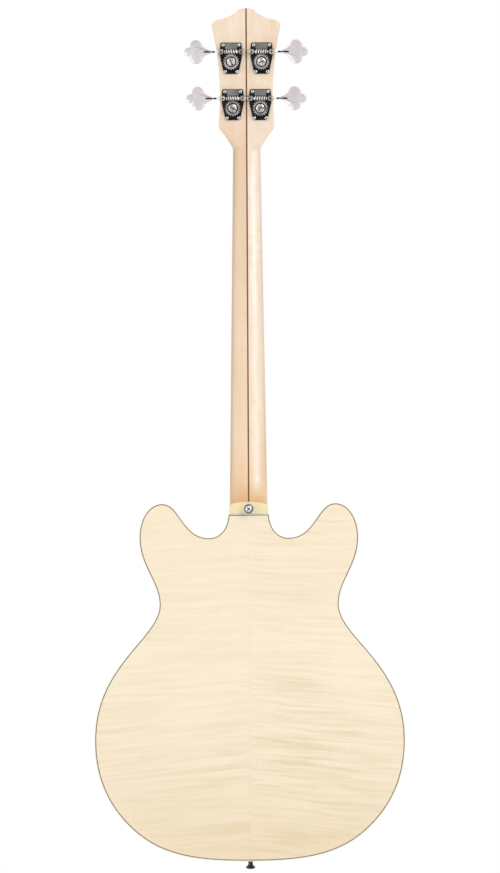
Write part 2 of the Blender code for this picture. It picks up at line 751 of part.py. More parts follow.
def rounded_rim(half_width, depth, squareness):
    """Half of a section: the front's centre, then round the side to the back's centre."""
    inner = STRIPE_WIDTH / 2 + STRIPE_GAP
    points = [(inner, -GLUE_GAP)]
    for degrees in (0, 20, 40, 60, 77, 90):
        a = math.radians(degrees)
        reach = math.cos(a) ** (2 / squareness) if degrees < 90 else 0
        x = inner + (half_width - inner) * reach
        points.append((x, -GLUE_GAP - (depth - GLUE_GAP) * math.sin(a) ** (2 / squareness)))
    return points


def neck_sections():
    """Half sections from the tenon's end to the crown of the head, each with the matrix that places it.

    A section's x is across and its y is towards the front.
    """
    sections = []

    def upright(z, rim):
        sections.append((Matrix.Translation((0, 0, z)), rim))

    start_z, shoulder_z = JOINT_Z - TENON_LENGTH, JOINT_Z + SEAT_GAP
    upright(start_z, tenon_rim(start_z))
    upright(shoulder_z, tenon_rim(shoulder_z))
    upright(shoulder_z, rounded_rim(neck_half_width(shoulder_z), HEEL_DEPTH, 30))
    cap_z = JOINT_Z + HEEL_CAP_LENGTH
    upright(cap_z - 8 * MM, rounded_rim(neck_half_width(cap_z), HEEL_DEPTH, 14))
    upright(cap_z, rounded_rim(neck_half_width(cap_z), HEEL_DEPTH, 5))
    drop = HEEL_DEPTH - NECK_DEPTH_HEEL
    for share, run_mm, squareness in ((0.22, 4, 4.2), (0.5, 9, 3.4), (0.78, 15.5, 2.8), (0.95, 23, 2.4), (1, 34, 2.3)):
        z = cap_z + run_mm * MM
        upright(z, rounded_rim(neck_half_width(z), HEEL_DEPTH - drop * share, squareness))
    for share in (0.81, 0.52, 0.25, 0.046, 0.0083):
        z = cap_z * share
        depth = NECK_DEPTH_NUT + (NECK_DEPTH_HEEL - NECK_DEPTH_NUT) * share
        upright(z, rounded_rim(neck_half_width(z), depth, 2.3 if share > 0.01 else 2.6))
    for width, v in head_half_outline()[1:]:
        width = max(width, STRIPE_WIDTH)
        squareness = min(2.9 + v / MM * 0.55, 20)
        columns = ((1, 0, 0, 0), (0, 0, 1, v), (0, 1, 0, -VENEER_THICKNESS), (0, 0, 0, 1))
        sections.append((HEAD @ Matrix(columns), rounded_rim(width, HEAD_THICKNESS, squareness)))
    return sections


def make_neck():
    """Two maple halves with a walnut stripe between them, from the tenon to the head."""
    sections = neck_sections()
    pieces = []
    for name, side in (("neck_bass_half", 1), ("neck_treble_half", -1)):
        verts = [tuple(matrix @ Vector((side * x, y, 0))) for matrix, rim in sections for x, y in rim]
        pieces.append(add_object(name, verts, lofted_faces(len(sections), len(sections[0][1])), NECK_MAPLE))
    half = STRIPE_WIDTH / 2
    verts = []
    for matrix, rim in sections:
        front, back = rim[0][1], rim[-1][1]
        for x, y in ((-half, front), (half, front), (half, back), (-half, back)):
            verts.append(tuple(matrix @ Vector((x, y, 0))))
    pieces.append(add_object("neck_stripe", verts, lofted_faces(len(sections), 4), WALNUT))
    return pieces


def truss_cutters():
    channel = box(
        -TRUSS_CHANNEL_HALF, TRUSS_CHANNEL_HALF,
        -TRUSS_CHANNEL_DEPTH, 1 * MM,
        JOINT_Z + 20 * MM, 14 * MM,
    )
    pocket = box(-TRUSS_POCKET_HALF, TRUSS_POCKET_HALF, 9 * MM, TRUSS_POCKET_END, -10 * MM, 1 * MM)
    return (
        add_object("truss_channel", *channel, None),
        add_object("truss_pocket", *pocket, None, HEAD),
    )


def make_truss_rod():
    """Square rod in its channel, with a hexagon nut at the head end."""
    half = TRUSS_CHANNEL_HALF - SEAT_GAP
    low = JOINT_Z + 21 * MM
    bottom = -TRUSS_CHANNEL_DEPTH + SEAT_GAP
    rod = box(-half, half, bottom, -TRUSS_ROD_TOP, low, 8 * MM)
    profile = [(0, 6 * MM), (TRUSS_NUT_RADIUS, 6 * MM), (TRUSS_NUT_RADIUS, 15 * MM), (0, 15 * MM)]
    nut = turned(profile, 6, (0, (bottom - TRUSS_ROD_TOP) / 2, 0), math.pi / 6)
    obj = add_object("truss_rod", *rod, STEEL)
    combine(obj, add_object("truss_nut_shape", *nut, None), "UNION")
    return obj


def make_head_details(neck_pieces, channel, pocket):
    """Veneer with the press-in post bushings, the truss rod cover, and the holes for posts and rod."""
    outline = [(NUT_HALF_WIDTH, VENEER_START)]
    outline += [(x, v) for x, v in head_half_outline() if v > VENEER_START + 2 * MM]
    loop = outline[:-1] + [(0, HEAD_LENGTH)] + [(-x, v) for x, v in reversed(outline[:-1])]
    post_hole = POST_RADIUS + POST_CLEARANCE
    holes = [circle((u, v), post_hole, 12) for u, v, _ in TUNER_SPOTS.values()]
    veneer = slab([loop, *holes], -VENEER_THICKNESS + GLUE_GAP / 2, 0)
    obj = add_object("headstock_veneer", *veneer, BLACK, HEAD)
    rings = joined(*[
        slab([circle((u, v), BUSHING_RADIUS, 14), circle((u, v), post_hole, 12)], -0.8 * MM, BUSHING_HEIGHT)
        for u, v, _ in TUNER_SPOTS.values()
    ])
    combine(obj, add_object("bushing_rings", *rings, None, HEAD), "UNION")
    combine(obj, pocket, "DIFFERENCE")
    drills = joined(*[
        slab([circle((u, v), post_hole, 12)], -30 * MM, 10 * MM) for u, v, _ in TUNER_SPOTS.values()
    ])
    drill = add_object("post_holes", *drills, None, HEAD)
    for piece in neck_pieces:
        combine(piece, channel, "DIFFERENCE")
        combine(piece, pocket, "DIFFERENCE")
        if piece.name != "neck_stripe":
            combine(piece, drill, "DIFFERENCE")
    half = curve_chain(
        [(9 * MM, 7 * MM, 90, 0, 10 * MM), (8.2 * MM, 27 * MM, 90, 8 * MM, 6 * MM), (0, 41 * MM, 180, 6 * MM, 0)],
        (2, 4),
    )
    cover_loop = half + [(-x, v) for x, v in reversed(half[:-1])]
    cover = slab([cover_loop], GLUE_GAP, 2.2 * MM)
    add_object("truss_rod_cover", *cover, BLACK, HEAD)


def make_heel_cap():
    half = curve_chain(
        [
            (25.4 * MM, JOINT_Z + SEAT_GAP, 90, 0, 4 * MM),
            (25.2 * MM, JOINT_Z + 11 * MM, 95, 4 * MM, 2 * MM),
            (0, JOINT_Z + HEEL_CAP_LENGTH, 180, 16 * MM, 0),
        ],
        (2, 5),
    )
    loop = half + [(-x, z) for x, z in reversed(half[:-1])]
    back = -HEEL_DEPTH - GLUE_GAP
    verts, faces = slab([loop], back - HEEL_CAP_THICKNESS, back)
    verts = [(x, y, z) for x, z, y in verts]
    add_object("heel_cap", verts, faces, CAP_CREAM)


def board_top(x, extra=0.0):
    """Height of the fingerboard's curved face."""
    drop = FINGERBOARD_RADIUS - math.sqrt(FINGERBOARD_RADIUS**2 - x * x)
    return FINGERBOARD_THICKNESS - drop + extra


def make_fingerboard():
    """Radiused, tapered board with its frets pressed in, lofted station by station."""
    stations = [(-SEAT_GAP, 0.0)]
    for n in range(1, FRET_COUNT + 1):
        centre = -fret_distance(n)
        crown = FRET_WIDTH * 0.25
        half = FRET_WIDTH / 2
        stations += [
            (centre + half, 0.0),
            (centre + crown, FRET_HEIGHT),
            (centre - crown, FRET_HEIGHT),
            (centre - half, 0.0),
        ]
    stations.append((-fret_distance(FRET_COUNT) - BOARD_PAST_LAST_FRET, 0.0))
    verts = []
    across = (1, 0.4, -0.4, -1)
    for z, rise in stations:
        width = neck_half_width(z)
        verts += [(-width, 0, z), (width, 0, z)]
        verts += [(width * c, board_top(width * c, rise), z) for c in across]
    faces = lofted_faces(len(stations), 2 + len(across))
    add_object("fingerboard", verts, faces, ROSEWOOD, sharp_angle=20)


def make_nut():
    """Bone nut with a slot under each string, as an extruded profile."""
    profile = [(-NUT_HALF_WIDTH, 0), (NUT_HALF_WIDTH, 0), (NUT_HALF_WIDTH, NUT_HEIGHT - 1.5 * MM)]
    profile.append((NUT_HALF_WIDTH - 1.5 * MM, NUT_HEIGHT))
    for i, diameter in enumerate(STRING_DIAMETERS):
        x = string_x(i, 0)
        half = diameter / 2 + SEAT_GAP
        floor = STRING_REST_AT_NUT - SEAT_GAP
        profile += [(x + half, NUT_HEIGHT), (x + half * 0.7, floor), (x - half * 0.7, floor), (x - half, NUT_HEIGHT)]
    profile += [(-NUT_HALF_WIDTH + 1.5 * MM, NUT_HEIGHT), (-NUT_HALF_WIDTH, NUT_HEIGHT - 1.5 * MM)]
    add_object("nut", *slab([profile], 0, NUT_LENGTH), BONE)


def tuner_matrix(spot):
    """Frame of one tuner at its post: its first axis points along the key, outwards."""
    u, v, side = spot
    return HEAD @ Matrix.Translation((u, v, 0)) @ Matrix.Diagonal((side, 1, 1, 1))


def make_tuner_plate(name, matrix):
    """Base plate, its two worm lugs and its four screw heads."""
    outline = [
        (14.2, 24.1), (13.0, 25.3), (-13.0, 25.3), (-14.2, 24.1), (-15.6, 9.0),
        (-9.8, -15.4), (-8.6, -16.5), (8.6, -16.5), (9.8, -15.4), (15.6, 9.0),
    ]
    loop = [(x * MM, y * MM) for x, y in outline]
    hole = circle((0, 0), POST_RADIUS + POST_CLEARANCE, 12)
    plate = slab([loop, hole], PLATE_TOP_W, HEAD_BACK_W - GLUE_GAP)
    obj = add_object(name, *plate, NICKEL, matrix)
    worm_v = GEAR_TO_WORM
    reach = 3.6 * MM
    lug_loop = [
        (worm_v - reach, PLATE_TOP_W + 0.5 * MM), (worm_v + reach, PLATE_TOP_W + 0.5 * MM),
        (worm_v + reach, GEAR_MID_W), (worm_v + reach * 0.7, GEAR_MID_W - reach * 0.7),
        (worm_v, GEAR_MID_W - reach), (worm_v - reach * 0.7, GEAR_MID_W - reach * 0.7), (worm_v - reach, GEAR_MID_W),
    ]
    bore = circle((worm_v, GEAR_MID_W), SHAFT_RADIUS + 0.25 * MM, 10)
    turn = Matrix(((0, 0, 1, 0), (1, 0, 0, 0), (0, 1, 0, 0), (0, 0, 0, 1)))
    lugs = [moved(slab([lug_loop[::-1], bore], low, high), turn)
            for low, high in ((LUG_INNER, LUG_OUTER), (-LUG_OUTER, -LUG_INNER))]
    heads = []
    for x, y in ((10.2, 21.6), (-10.2, 21.6), (8.0, -13.4), (-8.0, -13.4)):
        top = PLATE_TOP_W + 0.4 * MM
        profile = [(0, top), (2.5 * MM, top), (2.3 * MM, top - 1.3 * MM), (1.2 * MM, top - 1.9 * MM), (0, top - 1.9 * MM)]
        heads.append(turned(profile, 7, (x * MM, y * MM, 0)))
    combine(obj, add_object(name + "_lugs", *joined(*lugs, *heads), None, matrix), "UNION")


def make_gear(name, matrix):
    """Open gear with teeth cut at the worm's lead, and the cap screw that holds it on the post."""
    lead = math.atan(WORM_PITCH / (2 * math.pi * WORM_PITCH_RADIUS))
    twist = GEAR_THICKNESS * math.tan(lead) / GEAR_PITCH_RADIUS / 2
    pitch = 2 * math.pi / GEAR_TEETH
    space = MESH_BACKLASH / GEAR_PITCH_RADIUS
    tip, root = GEAR_PITCH_RADIUS + GEAR_TIP, GEAR_PITCH_RADIUS - GEAR_ROOT
    verts = []
    levels = ((GEAR_MID_W - GEAR_THICKNESS / 2, -twist), (GEAR_MID_W + GEAR_THICKNESS / 2, twist))
    for w, turn in levels:
        for i in range(GEAR_TEETH):
            middle = math.pi / 2 + i * pitch + turn
            for share, radius in ((-0.33, root), (-0.17, tip), (0.17, tip), (0.33, root)):
                a = middle + share * pitch - math.copysign(space / 2, share)
                verts.append((radius * math.cos(a), radius * math.sin(a), w))
    n = 4 * GEAR_TEETH
    faces = [(k, (k + 1) % n, n + (k + 1) % n, n + k) for k in range(n)]
    faces += [tuple(range(n)), tuple(range(n, 2 * n))]
    obj = add_object(name, verts, faces, NICKEL, matrix, 25)
    low = GEAR_MID_W - GEAR_THICKNESS / 2
    high = GEAR_MID_W + GEAR_THICKNESS / 2
    cap = turned(
        [
            (0, low + 0.5 * MM), (GEAR_CAP_RADIUS, low + 0.5 * MM), (GEAR_CAP_RADIUS, low - GEAR_CAP_HEIGHT * 0.6),
            (GEAR_CAP_RADIUS * 0.75, low - GEAR_CAP_HEIGHT), (0, low - GEAR_CAP_HEIGHT * 1.15),
        ],
        14,
    )
    hub_top = PLATE_TOP_W - SEAT_GAP
    hub = turned([(0, high - 0.5 * MM), (6.2 * MM, high - 0.5 * MM), (6.2 * MM, hub_top), (0, hub_top)], 12)
    combine(obj, add_object(name + "_cap", *joined(cap, hub), None, matrix), "UNION")
    half = 2.2 * MM
    recess = box(-half, half, -half, half, GEAR_MID_W, hub_top + 1 * MM)
    combine(obj, add_object(name + "_square", *recess, None, matrix), "DIFFERENCE")
    set_origin(obj, matrix.translation)


def make_post(name, matrix):
    """String post: a square end in the gear, the journal in the head, a waist for the string, a slotted top."""
    seat = PLATE_TOP_W - SEAT_GAP * 0.5 + 0.3 * MM
    profile = [
        (0, seat), (POST_RADIUS, seat), (POST_RADIUS, POST_WAIST_START), (POST_WAIST_RADIUS, POST_WAIST_START + 0.8 * MM),
        (POST_WAIST_RADIUS, POST_WAIST_END - 0.8 * MM), (POST_RADIUS, POST_WAIST_END),
        (POST_RADIUS, POST_TOP - 1 * MM), (POST_RADIUS - 1 * MM, POST_TOP), (0, POST_TOP),
    ]
    obj = add_object(name, *turned(profile, 12), CHROME, matrix)
    half = 1.9 * MM
    square = box(-half, half, -half, half, GEAR_MID_W + 0.3 * MM, seat + 1 * MM)
    combine(obj, add_object(name + "_end", *square, None, matrix), "UNION")
    slot = box(
        -POST_SLOT_WIDTH / 2, POST_SLOT_WIDTH / 2, -8 * MM, 8 * MM, POST_WAIST_END - 1.6 * MM, POST_TOP + 1 * MM
    )
    combine(obj, add_object(name + "_slot", *slot, None, matrix), "DIFFERENCE")
    set_origin(obj, matrix.translation)


def worm_shape():
    """Shaft with the worm thread, along the first axis and centred on the gear."""
    half_length = WORM_TURNS * WORM_PITCH / 2
    thin = 0.25 * MESH_BACKLASH / WORM_PITCH
    shares = ((0.10 + thin, "root"), (0.33 + thin, "tip"), (0.67 - thin, "tip"), (0.90 - thin, "root"))
    plain_before = [
        (-LUG_OUTER - 1.4 * MM, 0.0), (-LUG_OUTER - 1.4 * MM, SHAFT_RADIUS), (-LUG_INNER + 0.4 * MM, SHAFT_RADIUS),
        (-LUG_INNER + 0.4 * MM, 3.0 * MM), (-half_length - 1.2 * MM, 3.0 * MM), (-half_length - 1.2 * MM, WORM_ROOT_RADIUS),
    ]
    plain_after = [
        (half_length + 1.2 * MM, WORM_ROOT_RADIUS), (half_length + 1.2 * MM, 3.0 * MM), (LUG_INNER - 0.4 * MM, 3.0 * MM),
        (LUG_INNER - 0.4 * MM, SHAFT_RADIUS), (LUG_OUTER + 0.5 * MM, SHAFT_RADIUS), (LUG_OUTER + 0.5 * MM, 3.3 * MM),
        (LUG_OUTER + 3.0 * MM, 3.3 * MM), (LUG_OUTER + 4.5 * MM, 1.9 * MM), (35 * MM, 1.9 * MM), (35 * MM, 0.0),
    ]
    columns = []
    for j in range(WORM_STEPS + 1):
        column = list(plain_before)
        for i in range(-len(shares), (WORM_TURNS + 1) * len(shares)):
            turn, k = divmod(i, len(shares))
            share, level = shares[k]
            x = -half_length + (turn + share + j / WORM_STEPS - 0.5) * WORM_PITCH
            radius = WORM_TIP_RADIUS if level == "tip" else WORM_ROOT_RADIUS
            if abs(x) >= half_length:
                x, radius = math.copysign(half_length, x), WORM_ROOT_RADIUS
            column.append((x, radius))
        columns.append(column + plain_after)
    verts, faces = [], []
    n = len(columns[0])
    for j in range(WORM_STEPS):
        a = -math.pi / 2 + 2 * math.pi * j / WORM_STEPS
        verts += [(x, GEAR_TO_WORM + r * math.cos(a + math.pi / 2 + math.pi), GEAR_MID_W + r * math.sin(a + math.pi / 2 + math.pi))
                  for x, r in columns[j]]
    first, last = len(plain_before), len(plain_before) + len(shares) * (WORM_TURNS + 2)

    def index(j, k):
        """The point k of column j; past the last column the thread has moved on by one pitch."""
        if j < WORM_STEPS:
            return j * n + k
        return min(max(k + len(shares), first), last - 1) if first <= k < last else k

    for j in range(WORM_STEPS):
        for k in range(n - 1):
            corners = [index(j, k), index(j + 1, k), index(j + 1, k + 1), index(j, k + 1)]
            unique = [c for i, c in enumerate(corners) if c not in corners[:i]]
            if len(unique) > 2:
                faces.append(tuple(unique))
    return verts, faces


def key_outline():
    """Clover-leaf key as (along, across), star-shaped round its centre."""
    lobes_mm = [(-1.5, 8.6, 7.4), (-1.5, -8.6, 7.4), (5.6, 0, 7.6), (0, 0, 9.3), (-9, 0, 5.6), (-13.5, 0, 3.4), (-17, 0, 2.2)]
    points = []
    for i in range(32):
        a = 2 * math.pi * (i + 0.5) / 32
        d = Vector((math.cos(a), math.sin(a)))
        reach = 0.0
        for x, y, r in lobes_mm:
            c = Vector((x, y))
            under = r * r - c.length_squared + c.dot(d) ** 2
            if under > 0:
                reach = max(reach, c.dot(d) + math.sqrt(under))
        points.append((KEY_CENTRE + d.x * reach * MM, GEAR_TO_WORM + d.y * reach * MM))
    return points


def make_key(name, matrix):
    obj = add_object(name, *worm_shape(), CHROME, matrix)
    leaf = slab([key_outline()], GEAR_MID_W - KEY_THICKNESS / 2, GEAR_MID_W + KEY_THICKNESS / 2)
    combine(obj, add_object(name + "_leaf", *leaf, None, matrix), "UNION")
    set_origin(obj, matrix @ Vector((0, GEAR_TO_WORM, GEAR_MID_W)))


def make_tuners():
    for letter, spot in TUNER_SPOTS.items():
        matrix = tuner_matrix(spot)
        make_tuner_plate("tuner_plate_" + letter, matrix)
        make_gear("tuner_gear_" + letter, matrix)
        make_post("tuner_post_" + letter, matrix)
        make_key("tuner_key_" + letter, matrix)


def string_route(index):
    """Centre line and radii of one string: ball end, saddle, nut, then the wraps on its post."""
    letter = STRING_NAMES[index]
    radius = STRING_DIAMETERS[index] / 2
    u, v, side = TUNER_SPOTS[letter]
    wall_z = -SCALE_LENGTH - BRIDGE_BACK
    saddle_x = string_x(index, -SCALE_LENGTH)
    points, radii = [], []

    def add(x, y, z, r=radius):
        points.append((x, y, z))
        radii.append(r)

    ball_back = wall_z - BRIDGE_WALL_THICKNESS - 5.2 * MM
    for z, r in ((0, 0.6), (0.8, 1), (3.2, 1), (4.0, 0.5)):
        add(saddle_x, STRING_ANCHOR_Y, ball_back + z * MM, BALL_RADIUS * r if r > 0.5 else radius)
    add(saddle_x, STRING_ANCHOR_Y, wall_z + 2 * MM)
    top_y = STRING_REST_AT_SADDLE + radius
    add(saddle_x, top_y, -SCALE_LENGTH - SADDLE_TRAVEL - 2.5 * MM)
    add(saddle_x, top_y, -SCALE_LENGTH + 1 * MM)
    nut_x = string_x(index, 0)
    nut_y = STRING_REST_AT_NUT + radius
    add(nut_x, nut_y, 0)
    add(nut_x, nut_y - 0.3 * MM, NUT_LENGTH + 1 * MM)
    coil_radius = POST_WAIST_RADIUS + POST_CLEARANCE + radius
    step = 2 * radius + WRAP_GAP
    first_w = POST_WAIST_START + 1.0 * MM + radius
    for i in range(round(WRAP_TURNS * 24) + 1):
        a = 2 * math.pi * i / 24
        climb = first_w + step * i / 24
        local = Vector((u - side * coil_radius * math.cos(a), v + coil_radius * math.sin(a), climb))
        p = HEAD @ local
        add(p.x, p.y, p.z)
    return points, radii


def check_wraps():
    """Prints the least gap between neighbouring wraps of each string, measured on the route's points."""
    for index, letter in enumerate(STRING_NAMES):
        points, _ = string_route(index)
        coil = [Vector(p) for p in points[-(round(WRAP_TURNS * 24) + 1):]]
        nearest = min((a - b).length for i, a in enumerate(coil) for b in coil[i + 12:])
        gap = (nearest - STRING_DIAMETERS[index]) / MM
        print(f"string {letter}: least gap between wraps {gap:.2f} mm")


def make_strings():
    for index, letter in enumerate(STRING_NAMES):
        points, radii = string_route(index)
        add_object("string_" + letter, *tube(points, radii, 6), STRING_STEEL, sharp_angle=80)


def make_bridge():
    """Bent chrome plate with a rear wall; the intonation screws stay in the wall and run through the saddles."""
    back_z = -SCALE_LENGTH - BRIDGE_BACK
    front_z = -SCALE_LENGTH + BRIDGE_FRONT
    floor = CROWN_Y + SEAT_GAP
    plate = slab([rounded_rectangle(BRIDGE_HALF_WIDTH, (front_z - back_z + BRIDGE_WALL_THICKNESS) / 2, 3 * MM,
                                    (0, (front_z + back_z - BRIDGE_WALL_THICKNESS) / 2), 2)],
                 floor, floor + BRIDGE_PLATE_THICKNESS)
    upright = Matrix(((1, 0, 0, 0), (0, 0, 1, 0), (0, 1, 0, 0), (0, 0, 0, 1)))
    obj = add_object("bridge_plate", *moved(plate, upright), CHROME)
    wall_loop = rounded_rectangle(
        BRIDGE_HALF_WIDTH, (BRIDGE_WALL_TOP - floor) / 2, 2.5 * MM, (0, (BRIDGE_WALL_TOP + floor) / 2), 2
    )
    holes = [
        circle((string_x(i, -SCALE_LENGTH), STRING_ANCHOR_Y), STRING_DIAMETERS[i] / 2 + 0.45 * MM, 8)
        for i in range(4)
    ]
    wall = slab([wall_loop, *holes], back_z - BRIDGE_WALL_THICKNESS, back_z)
    screws = []
    for i in range(4):
        x = string_x(i, -SCALE_LENGTH)
        head_z = back_z - BRIDGE_WALL_THICKNESS
        profile = [
            (0, head_z - 2 * MM), (SCREW_HEAD_RADIUS, head_z - 2 * MM), (SCREW_HEAD_RADIUS, head_z + 0.5 * MM),
            (SCREW_RADIUS, head_z + 0.5 * MM), (SCREW_RADIUS, -SCALE_LENGTH + 9 * MM), (0, -SCALE_LENGTH + 9 * MM),
        ]
        screws.append(turned(profile, 8, (x, SCREW_Y, 0)))
    combine(obj, add_object("bridge_wall", *wall, None), "UNION")
    combine(obj, add_object("bridge_screws", *joined(*screws), None), "UNION")


def make_saddles():
    floor = CROWN_Y + SEAT_GAP + BRIDGE_PLATE_THICKNESS + SEAT_GAP
    for i, letter in enumerate(STRING_NAMES):
        x = string_x(i, -SCALE_LENGTH)
        top = STRING_REST_AT_SADDLE - SEAT_GAP
        profile = [
            (-SADDLE_BACK, floor), (SADDLE_FRONT, floor), (SADDLE_FRONT, top - 3 * MM),
            (1.2 * MM, top), (-1.2 * MM, top), (-SADDLE_BACK, top - 2.6 * MM),
        ]
        turn = Matrix(((0, 0, 1, x), (0, 1, 0, 0), (1, 0, 0, -SCALE_LENGTH), (0, 0, 0, 1)))
        shape = moved(slab([profile], -SADDLE_HALF_WIDTH, SADDLE_HALF_WIDTH), turn)
        obj = add_object("saddle_" + letter, *shape, ROSEWOOD)
        low = -SCALE_LENGTH - SADDLE_BACK - 1 * MM
        high = -SCALE_LENGTH + SADDLE_FRONT + 1 * MM
        radius = SCREW_RADIUS + SEAT_GAP
        bore = turned([(0, low), (radius, low), (radius, high), (0, high)], 8, (x, SCREW_Y, 0))
        combine(obj, add_object("saddle_bore_" + letter, *bore, None), "DIFFERENCE")


def make_pickups():
    for name, z in (("neck", NECK_PICKUP_Z), ("bridge", BRIDGE_PICKUP_Z)):
        centre = to_body(0, z)
        loop = rounded_rectangle(PICKUP_HALF_WIDTH, PICKUP_HALF_LENGTH, 3.5 * MM, centre, 2)
        crest = rounded_rectangle(PICKUP_HALF_WIDTH - 1.5 * MM, PICKUP_HALF_LENGTH - 1.5 * MM, 2.5 * MM, centre, 2)
        n = len(loop)
        levels = [
            (loop, PICKUP_TOP_Y - PICKUP_DEPTH), (loop, PICKUP_TOP_Y - 1.5 * MM), (crest, PICKUP_TOP_Y)
        ]
        verts = [(*p, w) for ring, w in levels for p in ring]
        faces = [(r * n + k, r * n + (k + 1) % n, (r + 1) * n + (k + 1) % n, (r + 1) * n + k)
                 for r in range(2) for k in range(n)]
        faces += [tuple(range(n)), tuple(range(2 * n, 3 * n))]
        obj = add_object(name + "_pickup", verts, faces, CHROME, BODY)
        poles = joined(*[
            slab([circle((string_x(i, z), centre[1]), POLE_RADIUS, 10)], PICKUP_TOP_Y - 1 * MM, PICKUP_TOP_Y + POLE_HEIGHT)
            for i in range(4)
        ])
        combine(obj, add_object(name + "_poles", *poles, None, BODY), "UNION")
        gap = PICKUP_CLEARANCE
        inner = rounded_rectangle(PICKUP_HALF_WIDTH + gap, PICKUP_HALF_LENGTH + gap, 3.8 * MM, centre, 2)
        outer = rounded_rectangle(
            PICKUP_HALF_WIDTH + RING_BORDER, PICKUP_HALF_LENGTH + RING_BORDER, 5 * MM, centre, 2
        )
        ring = slab(
            [divided(outer, 12 * MM), divided(inner, 12 * MM)],
            lambda u, v: RIM_TOP_Y + arch(u, v) + SEAT_GAP,
            CROWN_Y + RING_THICKNESS,
        )
        add_object(name + "_pickup_ring", *ring, BLACK, BODY)


def make_controls():
    facing = Matrix(((1, 0, 0, 0), (0, 0, 1, 0), (0, 1, 0, 0), (0, 0, 0, 1)))
    names = ("bridge_volume", "bridge_tone", "neck_volume", "neck_tone")
    for name, (x, z) in zip(names, knob_spots()):
        place = Matrix.Translation((x, 0, z)) @ facing
        low, high = top_surface(x, z, POT_RADIUS)
        under = low - PLATE_THICKNESS - FACET_SAG
        foot = high + KNOB_FLOAT
        recess = foot + 5 * MM
        tip = under - 4 * MM
        knob = turned(
            [
                (0, tip), (POT_SHAFT_RADIUS, tip), (POT_SHAFT_RADIUS, recess), (8.5 * MM, recess), (8.5 * MM, foot),
                (KNOB_RADIUS, foot), (KNOB_RADIUS, foot + 3 * MM), (KNOB_RADIUS - 2.4 * MM, foot + 4.5 * MM),
                (KNOB_RADIUS - 3.4 * MM, foot + KNOB_HEIGHT - 1 * MM), (KNOB_RADIUS - 4.4 * MM, foot + KNOB_HEIGHT),
                (0, foot + KNOB_HEIGHT),
            ],
            16,
        )
        obj = add_object("knob_" + name, *knob, BLACK, place)
        set_origin(obj, (x, 0, z))
        bore = POT_SHAFT_RADIUS + SEAT_GAP
        nut_low, nut_high = high + SEAT_GAP, high + 3 * MM
        pot = turned(
            [
                (0, under - POT_DEPTH), (POT_RADIUS, under - POT_DEPTH), (POT_RADIUS, under),
                (POT_BUSHING_RADIUS, under), (POT_BUSHING_RADIUS, nut_low), (7.2 * MM, nut_low),
                (7.2 * MM, nut_high), (bore, nut_high), (bore, under - 5 * MM), (0, under - 5 * MM),
            ],
            10,
        )
        add_object("pot_" + name, *pot, STEEL, place)
    x, z = SWITCH_SPOT
    place = Matrix.Translation((x, 0, z)) @ facing
    low, high = top_surface(x, z, SWITCH_NUT_RADIUS)
    under = low - PLATE_THICKNESS - FACET_SAG
    nut_low, nut_high = high + SEAT_GAP, high + 2.6 * MM
    pivot = nut_high - 6 * MM
    tip = high + SWITCH_HEIGHT
    body = turned(
        [
            (0, under - 22 * MM), (8 * MM, under - 22 * MM), (8 * MM, under), (SWITCH_BUSHING_RADIUS, under),
            (SWITCH_BUSHING_RADIUS, nut_low), (SWITCH_NUT_RADIUS, nut_low), (SWITCH_NUT_RADIUS, nut_high),
            (4.6 * MM, nut_high),
            (4.2 * MM, pivot - 3.5 * MM), (0, pivot - 3.5 * MM),
        ],
        12,
    )
    add_object("switch_body", *body, NICKEL, place)
    lever = turned(
        [
            (0, pivot - 2.6 * MM), (1.8 * MM, pivot - 1.9 * MM), (2.6 * MM, pivot), (1.8 * MM, pivot + 1.9 * MM),
            (1.4 * MM, pivot + 3 * MM), (1.4 * MM, tip - 10 * MM), (2.6 * MM, tip - 9 * MM), (3.8 * MM, tip - 2 * MM),
            (2.4 * MM, tip), (0, tip),
        ],
        10,
    )
    obj = add_object("switch_lever", *lever, IVORY, place)
    set_origin(obj, (x, pivot, z))


def make_jack():
    """Barrel jack through the top, with a flat nut whose foot follows the arch."""
    x, z = JACK_SPOT
    centre = to_body(x, z)
    low, high = top_surface(x, z, JACK_NUT_RADIUS)
    under = low - PLATE_THICKNESS - FACET_SAG
    face, end = high + JACK_NUT_THICKNESS, high + JACK_NUT_THICKNESS - JACK_DEPTH
    sleeve = turned(
        [
            (0, end), (6.5 * MM, end), (6.5 * MM, under), (JACK_SLEEVE_RADIUS, under),
            (JACK_SLEEVE_RADIUS, face), (JACK_BORE_RADIUS, face), (JACK_BORE_RADIUS, end + 2 * MM), (0, end + 2 * MM),
        ],
        12,
        (*centre, 0),
    )
    obj = add_object("output_jack", *sleeve, CHROME, BODY)
    rings = [circle(centre, JACK_NUT_RADIUS, 12), circle(centre, JACK_SLEEVE_RADIUS - 0.6 * MM, 12)]
    nut = slab(rings, lambda u, v: RIM_TOP_Y + arch(u, v) + SEAT_GAP, face - 0.3 * MM)
    combine(obj, add_object("jack_nut", *nut, None, BODY), "UNION")


def button_shape():
    """Strap button along its own axis, from its seat to its flat end, screw included."""
    return turned(
        [
            (0, 0), (4.8 * MM, 0), (4.4 * MM, 1.6 * MM), (BUTTON_NECK_RADIUS, 3.2 * MM),
            (BUTTON_NECK_RADIUS, BUTTON_LENGTH - 5.5 * MM), (BUTTON_FLANGE_RADIUS, BUTTON_LENGTH - 2.6 * MM),
            (BUTTON_FLANGE_RADIUS, BUTTON_LENGTH - 1.2 * MM), (BUTTON_FLANGE_RADIUS - 1.4 * MM, BUTTON_LENGTH),
            (0, BUTTON_LENGTH),
        ],
        12,
        start=math.pi / 12,
    )


